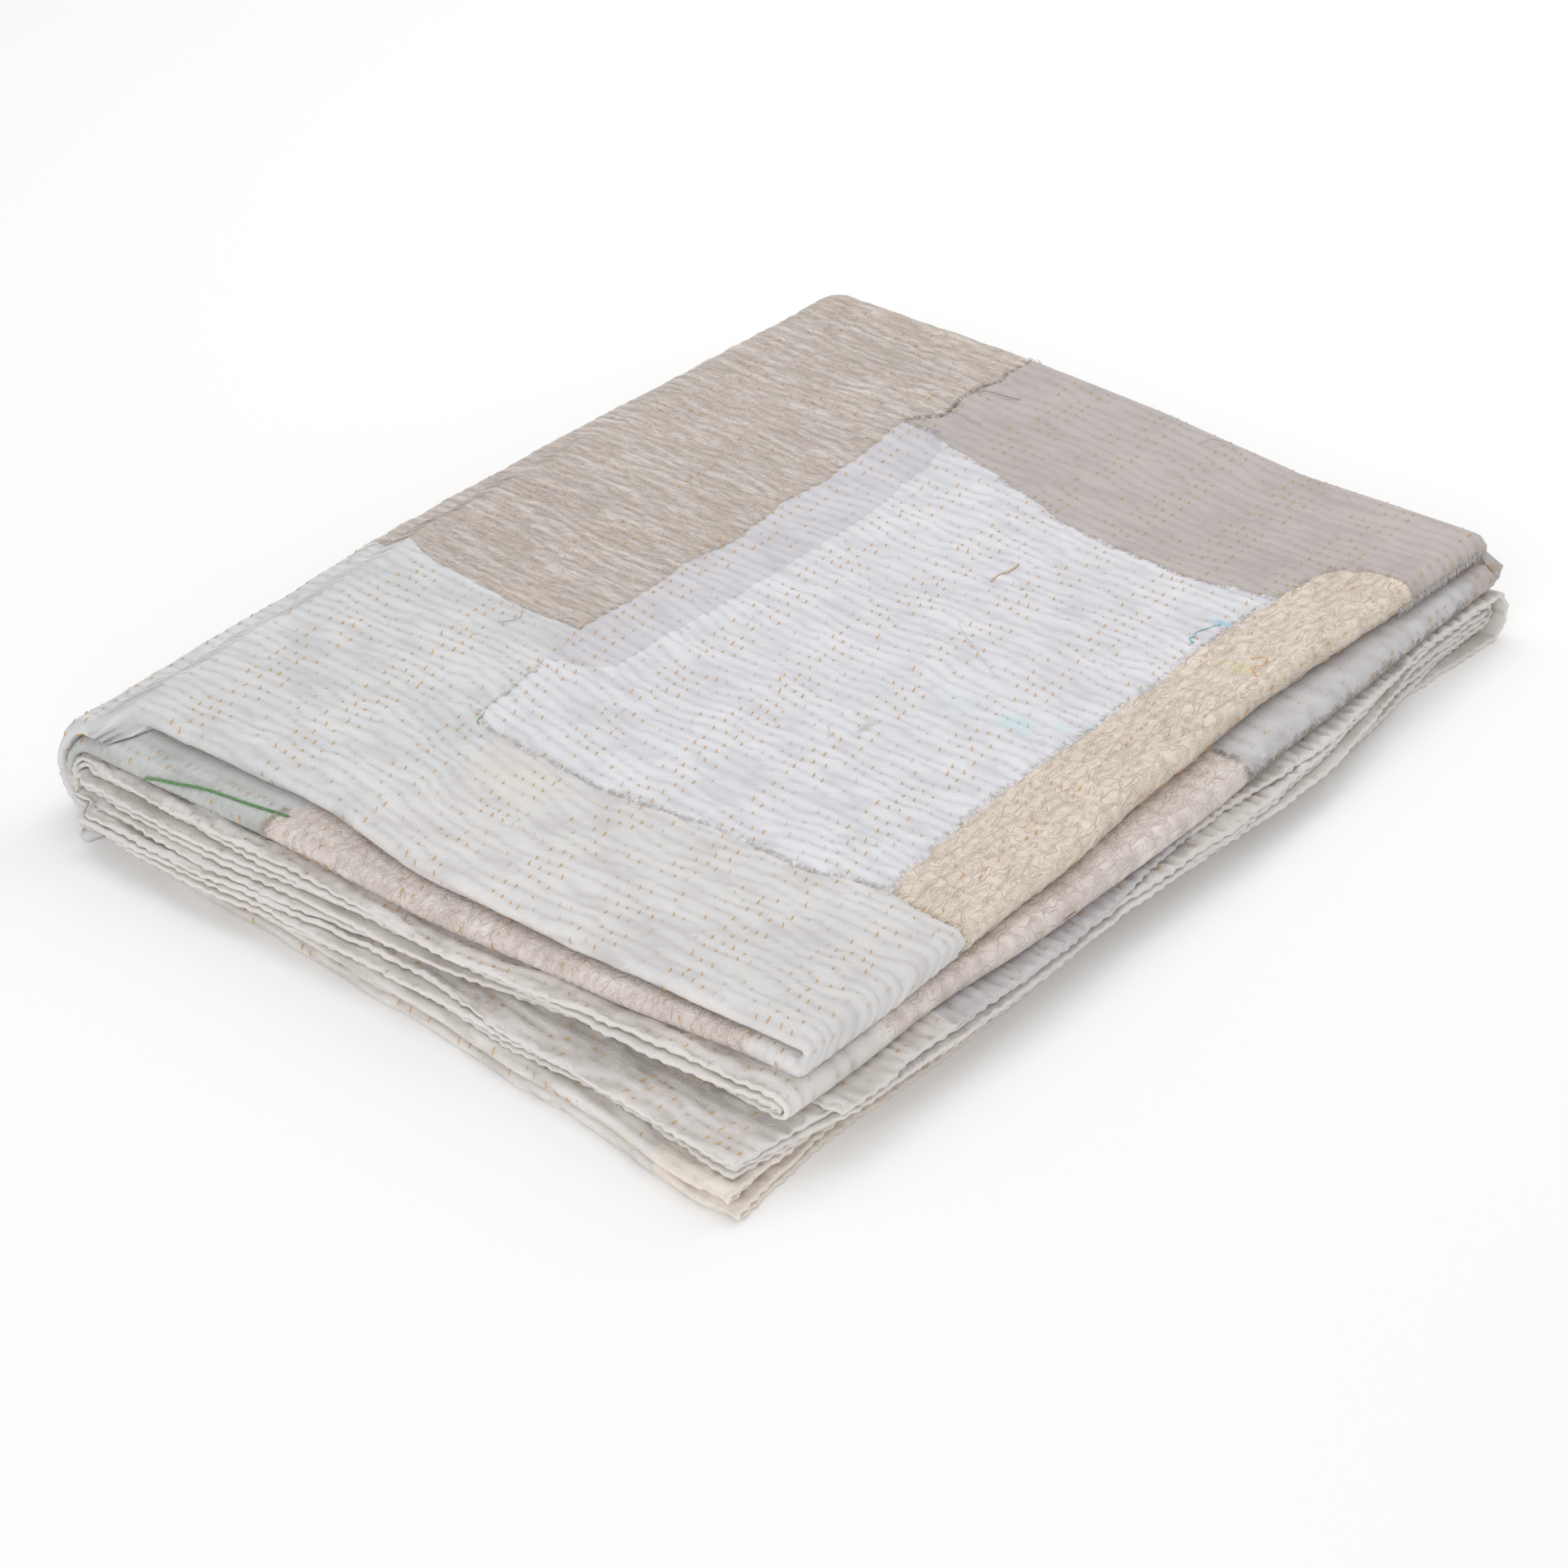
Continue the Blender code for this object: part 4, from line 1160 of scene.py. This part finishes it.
class KANTHA_OT_stitches(bpy.types.Operator):
    """Lays the running stitches, orange in some rows and pale in the others"""

    bl_idname = "kantha.stitches"
    bl_label = "Running stitches"

    def execute(self, context):
        sizes = context.scene.quilt_sizes
        colours = context.scene.quilt_colours
        cuts = Cuts()
        us, vs, ways, orange, side = stitch_spots(sizes, cuts)
        here, out = surface(us, vs, cuts, sizes, THREAD_LIFT, side)
        way, bridge = ways_on_cloth(us, vs, ways, cuts, sizes, sizes.stitch_length * 0.40, side)
        # the thread bridges its valley, so it lies between its ends' heights and the valley's floor
        rise = np.einsum("ij,ij->i", bridge - here, out)
        here = here + out * np.clip(rise * 0.8, 0.0, 0.0006)[:, None]
        clear = here[:, 2] > 0.003  # and none is pressed into the floor
        made = thread_material("orange_cotton_thread", colours.orange, 0.75)
        faded = thread_material("pale_cotton_thread", colours.pale, 0.80)
        for name, pick, material, sides, segments, wide in (
            ("orange_stitches", orange & clear, made, 5, 4, 1.0),
            ("pale_stitches", ~orange & clear, faded, 4, 3, 0.70),
        ):
            finish_piece(lay_threads(
                name, here[pick], way[pick], out[pick], material, Length=sizes.stitch_length,
                Thickness=sizes.thread_width * wide, Arch=0.0002, Sides=sides, Segments=segments,
                Unevenness=0.30))
        return {"FINISHED"}


# Loose threads, as millimetres on the stack's top and height over the cloth.
LOOSE = (
    # name, colour, thickness in mm, strands, points
    ("tan_thread", "#d6c2a8", 0.70, 3,
     ((38, 107, 0.2), (40, 100, 0.3), (39, 94, 0.3), (37, 89, 0.3), (38, 85, 0.2))),
    ("blue_thread", "#9cc9d8", 0.45, 3,
     ((147, 122, 0.2), (144, 115, 0.3), (140, 107, 0.3), (146, 105, 0.4), (141, 101, 0.3), (147, 99, 0.2))),
    ("fine_thread", "#c6c4c6", 0.16, 1,
     ((50, 42, 0.3), (56, 37, 0.6), (64, 31, 0.4), (76, 25, 0.6), (84, 17, 0.4), (97, 12, 0.3))),
    ("orange_loop", "#dd9c55", 0.42, 1,
     ((177, 104, 0.2), (182, 109, 1.0), (187, 106, 1.4), (185, 99, 1.0), (180, 97, 0.8), (188, 92, 0.3))),
    ("dark_thread", "#6f7672", 0.22, 1,
     ((-121, -80, 0.3), (-117, -84, 1.2), (-119, -90, 1.0), (-125, -93, 0.3))),
    ("green_thread", "#8fb0a0", 0.30, 2,
     ((-75, -158, 0.2), (-72, -162, 0.5), (-76, -164, 0.4), (-71, -167, 0.2))),
    ("edge_thread", "#9b948f", 0.24, 1,
     ((35, 268, 0.3), (38, 276, 1.8), (44, 273, 2.4), (50, 279, 1.2), (55, 273, 0.3))),
    ("corner_thread", "#b0a090", 0.22, 1,
     ((-196, 262, 0.3), (-203, 270, 2.0), (-198, 276, 2.6), (-205, 279, 1.2))),
    ("side_thread", "#a79c92", 0.20, 1,
     ((-214, -62, 0.3), (-222, -72, 2.6), (-226, -86, 3.0), (-221, -96, 0.5))),
    ("white_tuft", "#dedbd8", 0.18, 2, ((60, -70, 0.3), (62, -76, 1.2), (65, -72, 1.6), (66, -80, 0.4))),
    ("grey_tuft", "#8f8781", 0.20, 3, ((-88, 240, 0.3), (-80, 246, 1.2), (-72, 243, 1.5), (-64, 248, 0.4))),
    ("grey_curl", "#8f8781", 0.20, 2, ((-86, 214, 0.3), (-78, 217, 1.4), (-72, 211, 1.2), (-64, 214, 0.3))),
)

# Threads that hang at the lower edges, on the flat cloth in metres, with their heights in millimetres.
HANGING = (
    # name, colour, thickness in mm, strands, side of the cloth, points
    ("hem_tuft", "#e3e0dc", 0.30, 3, -1.0,
     ((-0.692, -1.152, 0.3), (-0.697, -1.149, 1.2), (-0.701, -1.153, 1.6), (-0.704, -1.147, 1.0),
      (-0.708, -1.150, 0.5))),
    ("hem_loop", "#d2cdc8", 0.24, 1, 1.0,
     ((-0.470, 0.868, 0.4), (-0.474, 0.874, 1.6), (-0.482, 0.877, 1.8), (-0.487, 0.870, 0.6))),
    ("low_tuft", "#e3e0dc", 0.28, 2, -1.0,
     ((-0.330, -1.436, 0.3), (-0.336, -1.440, 1.4), (-0.344, -1.437, 1.8), (-0.352, -1.442, 0.8))),
    ("side_end", "#8f8781", 0.22, 1, 1.0,
     ((-0.690, 0.640, 0.3), (-0.696, 0.646, 1.4), (-0.700, 0.640, 1.8), (-0.705, 0.645, 0.6))),
)

# The green line's places on the flat cloth in metres.
GREEN_LINE = (
    (0.530, -0.2955), (0.547, -0.2925), (0.563, -0.2903), (0.570, -0.2895), (0.585, -0.2860),
    (0.600, -0.2838), (0.606, -0.2825),
)


def thread_tube(name, path, thickness, material):
    """A round thread along a smooth path, as one mesh with closed ends."""
    curve = bpy.data.curves.new(name, "CURVE")
    curve.dimensions = "3D"
    curve.bevel_depth = thickness / 2.0
    curve.bevel_resolution = 1
    curve.use_fill_caps = True
    spline = curve.splines.new("NURBS")
    spline.points.add(len(path) - 1)
    for point, spot in zip(spline.points, path):
        point.co = (*spot, 1.0)
    spline.use_endpoint_u = True
    spline.order_u = 4
    spline.resolution_u = 5
    thing = bpy.data.objects.new(name, curve)
    bpy.context.scene.collection.objects.link(thing)
    bpy.context.view_layer.update()
    ready = thing.evaluated_get(bpy.context.evaluated_depsgraph_get())
    mesh = bpy.data.meshes.new_from_object(ready)
    bpy.data.objects.remove(thing, do_unlink=True)
    mesh.materials.clear()
    mesh.materials.append(material)
    mesh.shade_smooth()
    return mesh


def joined(name, meshes):
    """Several meshes as one object."""
    work = bmesh.new()
    for mesh in meshes:
        work.from_mesh(mesh)
    mesh = bpy.data.meshes.new(name)
    work.to_mesh(mesh)
    work.free()
    mesh.materials.append(meshes[0].materials[0])
    piece = bpy.data.objects.new(name, mesh)
    bpy.context.scene.collection.objects.link(piece)
    return piece


def loose_thread(name, colour, thickness, strands, heights, cuts, sizes, side=1.0):
    """A loose thread of some strands along their flat paths, with heights and thickness in millimetres."""
    lift = heights / 1000.0 + thickness / 2000.0
    material = thread_material("sewing_" + name, colour, 0.8)
    finish_piece(joined(name, [
        thread_tube(name, surface(*path.T, cuts, sizes, lift, side)[0], thickness / 1000.0, material)
        for path in strands
    ]))


class KANTHA_OT_threads(bpy.types.Operator):
    """Lays the loose threads, the frayed edges and the green embroidered line"""

    bl_idname = "kantha.threads"
    bl_label = "Loose threads and frayed edges"

    def execute(self, context):
        sizes = context.scene.quilt_sizes
        cuts = Cuts()
        rng = np.random.default_rng(91)
        for name, colour, thickness, count, points in LOOSE:
            points = np.array(points, float)
            flat = from_top(points[:, :2])
            strands = [flat] + [flat + rng.normal(0.0, 0.0004, flat.shape) for _ in range(count - 1)]
            loose_thread(name, colour, thickness, strands, points[:, 2], cuts, sizes)
        for name, colour, thickness, count, side, points in HANGING:
            points = np.array(points, float)
            strands = [points[:, :2] + rng.normal(0.0, 0.0012, (len(points), 2)) for _ in range(count)]
            loose_thread(name, colour, thickness, strands, points[:, 2], cuts, sizes, side)

        # the frayed edges
        shades = {"white": "#d9d7d6", "grey": "#a59d97", "silk": "#cdbfae"}
        for kind, rows in fray_spots(cuts).items():
            u, v, ways = rows[:, 0], rows[:, 1], rows[:, 2:4]
            here, out = surface(u, v, cuts, sizes, 0.00020)
            way, _ = ways_on_cloth(u, v, ways, cuts, sizes, 0.0008)
            way = way + out * rng.uniform(-0.05, 0.55, len(u))[:, None]
            way /= np.linalg.norm(way, axis=1)[:, None]
            clear = here[:, 2] > 0.004
            material = thread_material("frayed_" + kind + "_fibre", shades[kind], 0.9)
            finish_piece(lay_threads(
                kind + "_frays", (here + way * 0.0009)[clear], way[clear], out[clear], material,
                Length=0.0038, Thickness=0.00028, Arch=0.0008, Sides=3, Segments=3, Unevenness=0.7))

        # the green line in stem stitch on the second fold: each stitch lies a little across the line
        line_u, line_v = zip(*GREEN_LINE)
        u = np.linspace(line_u[-1], line_u[0], 36)
        v = np.interp(u, line_u, line_v)
        here, out = surface(u, v, cuts, sizes, 0.00025)
        ways = np.column_stack([np.gradient(u), np.gradient(v)])
        ways += 0.20 * np.column_stack([-ways[:, 1], ways[:, 0]])
        way, _ = ways_on_cloth(u, v, ways, cuts, sizes, 0.0012)
        green = thread_material("green_cotton_floss", "#5f8f5c", 0.6)
        finish_piece(lay_threads(
            "green_line", here, way, out, green,
            Length=0.0040, Thickness=0.0015, Arch=0.0005, Sides=6, Segments=5, Unevenness=0.1))

        # a short end of red thread on the right side
        u, v = np.full(4, 0.216), np.array([0.688, 0.690, 0.692, 0.694])
        here, out = surface(u, v, cuts, sizes, 0.00025)
        way, _ = ways_on_cloth(u, v, np.tile((0.2, 1.0), (len(u), 1)), cuts, sizes, 0.001)
        red = thread_material("red_cotton_thread", "#a05560", 0.7)
        finish_piece(lay_threads(
            "red_end", here, way, out, red,
            Length=0.0030, Thickness=0.0004, Arch=0.0002, Sides=5, Segments=4, Unevenness=0.1))
        return {"FINISHED"}


# The camera was solved from the corners of the stack's top, in the quilt's own frame before it moved
# to the origin.
CAMERA_AT = (1.163896, -1.482445, 1.164827)
CAMERA_WAY = (-0.5278, 0.6591, -0.5358)
CAMERA_LENS = 104.72
# Soft, nearly even light: name, size, energy and place of each square lamp, which faces the quilt.
LAMPS = (
    ("overhead", 1.5, 9.0, (-0.55, 0.35, 1.9)),
    ("back", 1.2, 9.0, (0.1, 1.7, 1.3)),
    ("front", 2.0, 24.0, (0.95, -2.2, 0.75)),
)
ROOM_LIGHT = 0.62
FLOOR_REACH = 8.0


class KANTHA_OT_stage(bpy.types.Operator):
    """Sets the floor, the soft light and the camera"""

    bl_idname = "kantha.stage"
    bl_label = "Floor, light and camera"

    def execute(self, context):
        scene = context.scene
        mesh = bpy.data.meshes.new("floor")
        corners = [(x * FLOOR_REACH, y * FLOOR_REACH, 0.0) for x, y in ((-1, -1), (1, -1), (1, 1), (-1, 1))]
        mesh.from_pydata(corners, [], [(0, 1, 2, 3)])
        floor = bpy.data.objects.new("floor", mesh)
        scene.collection.objects.link(floor)
        # painted board, matt and without a grain
        material = bpy.data.materials.new("matt_white_board")
        material.use_nodes = True
        shader = material.node_tree.nodes["Principled BSDF"]
        shader.inputs["Base Color"].default_value = scene.quilt_colours.floor
        shader.inputs["Roughness"].default_value = 0.9
        mesh.materials.append(material)

        world = bpy.data.worlds.new("soft_room")
        world.use_nodes = True
        room = world.node_tree.nodes["Background"]
        room.inputs["Color"].default_value = (1.0, 1.0, 1.0, 1.0)
        room.inputs["Strength"].default_value = ROOM_LIGHT
        scene.world = world
        for name, size, energy, spot in LAMPS:
            light = bpy.data.lights.new(name, "AREA")
            light.size = size
            light.energy = energy
            lamp = bpy.data.objects.new(name, light)
            lamp.location = spot
            lamp.rotation_euler = (-Vector(spot)).to_track_quat("-Z", "Y").to_euler()
            scene.collection.objects.link(lamp)

        camera_data = bpy.data.cameras.new("camera")
        camera_data.sensor_fit = "HORIZONTAL"
        camera_data.sensor_width = 36.0
        camera_data.lens = CAMERA_LENS
        camera = bpy.data.objects.new("camera", camera_data)
        camera.location = (CAMERA_AT[0] - MIDDLE[0], CAMERA_AT[1] - MIDDLE[1], CAMERA_AT[2])
        camera.rotation_euler = Vector(CAMERA_WAY).to_track_quat("-Z", "Y").to_euler()
        scene.collection.objects.link(camera)
        scene.camera = camera
        scene.view_settings.view_transform = "Standard"
        return {"FINISHED"}


class KANTHA_PT_panel(bpy.types.Panel):
    """The quilt's pieces, sizes and colours"""

    bl_idname = "KANTHA_PT_panel"
    bl_label = "Folded kantha quilt"
    bl_space_type = "VIEW_3D"
    bl_region_type = "UI"
    bl_category = "Quilt"

    def draw(self, context):
        layout = self.layout
        for group in (context.scene.quilt_sizes, context.scene.quilt_colours):
            box = layout.box()
            for name in group.__annotations__:
                box.prop(group, name)
        for operator in OPERATORS:
            layout.operator(operator.bl_idname)


OPERATORS = (KANTHA_OT_cloth, KANTHA_OT_stitches, KANTHA_OT_threads, KANTHA_OT_stage)
CLASSES = (QuiltSizes, QuiltColours) + OPERATORS + (KANTHA_PT_panel,)


def register():
    for item in CLASSES:
        bpy.utils.register_class(item)
    bpy.types.Scene.quilt_sizes = PointerProperty(type=QuiltSizes)
    bpy.types.Scene.quilt_colours = PointerProperty(type=QuiltColours)


def unregister():
    del bpy.types.Scene.quilt_colours
    del bpy.types.Scene.quilt_sizes
    for item in reversed(CLASSES):
        bpy.utils.unregister_class(item)


def main():
    """Make every piece and the stage."""
    register()
    bpy.ops.kantha.cloth()
    bpy.ops.kantha.stitches()
    bpy.ops.kantha.threads()
    bpy.ops.kantha.stage()


if __name__ == "__main__":
    main()
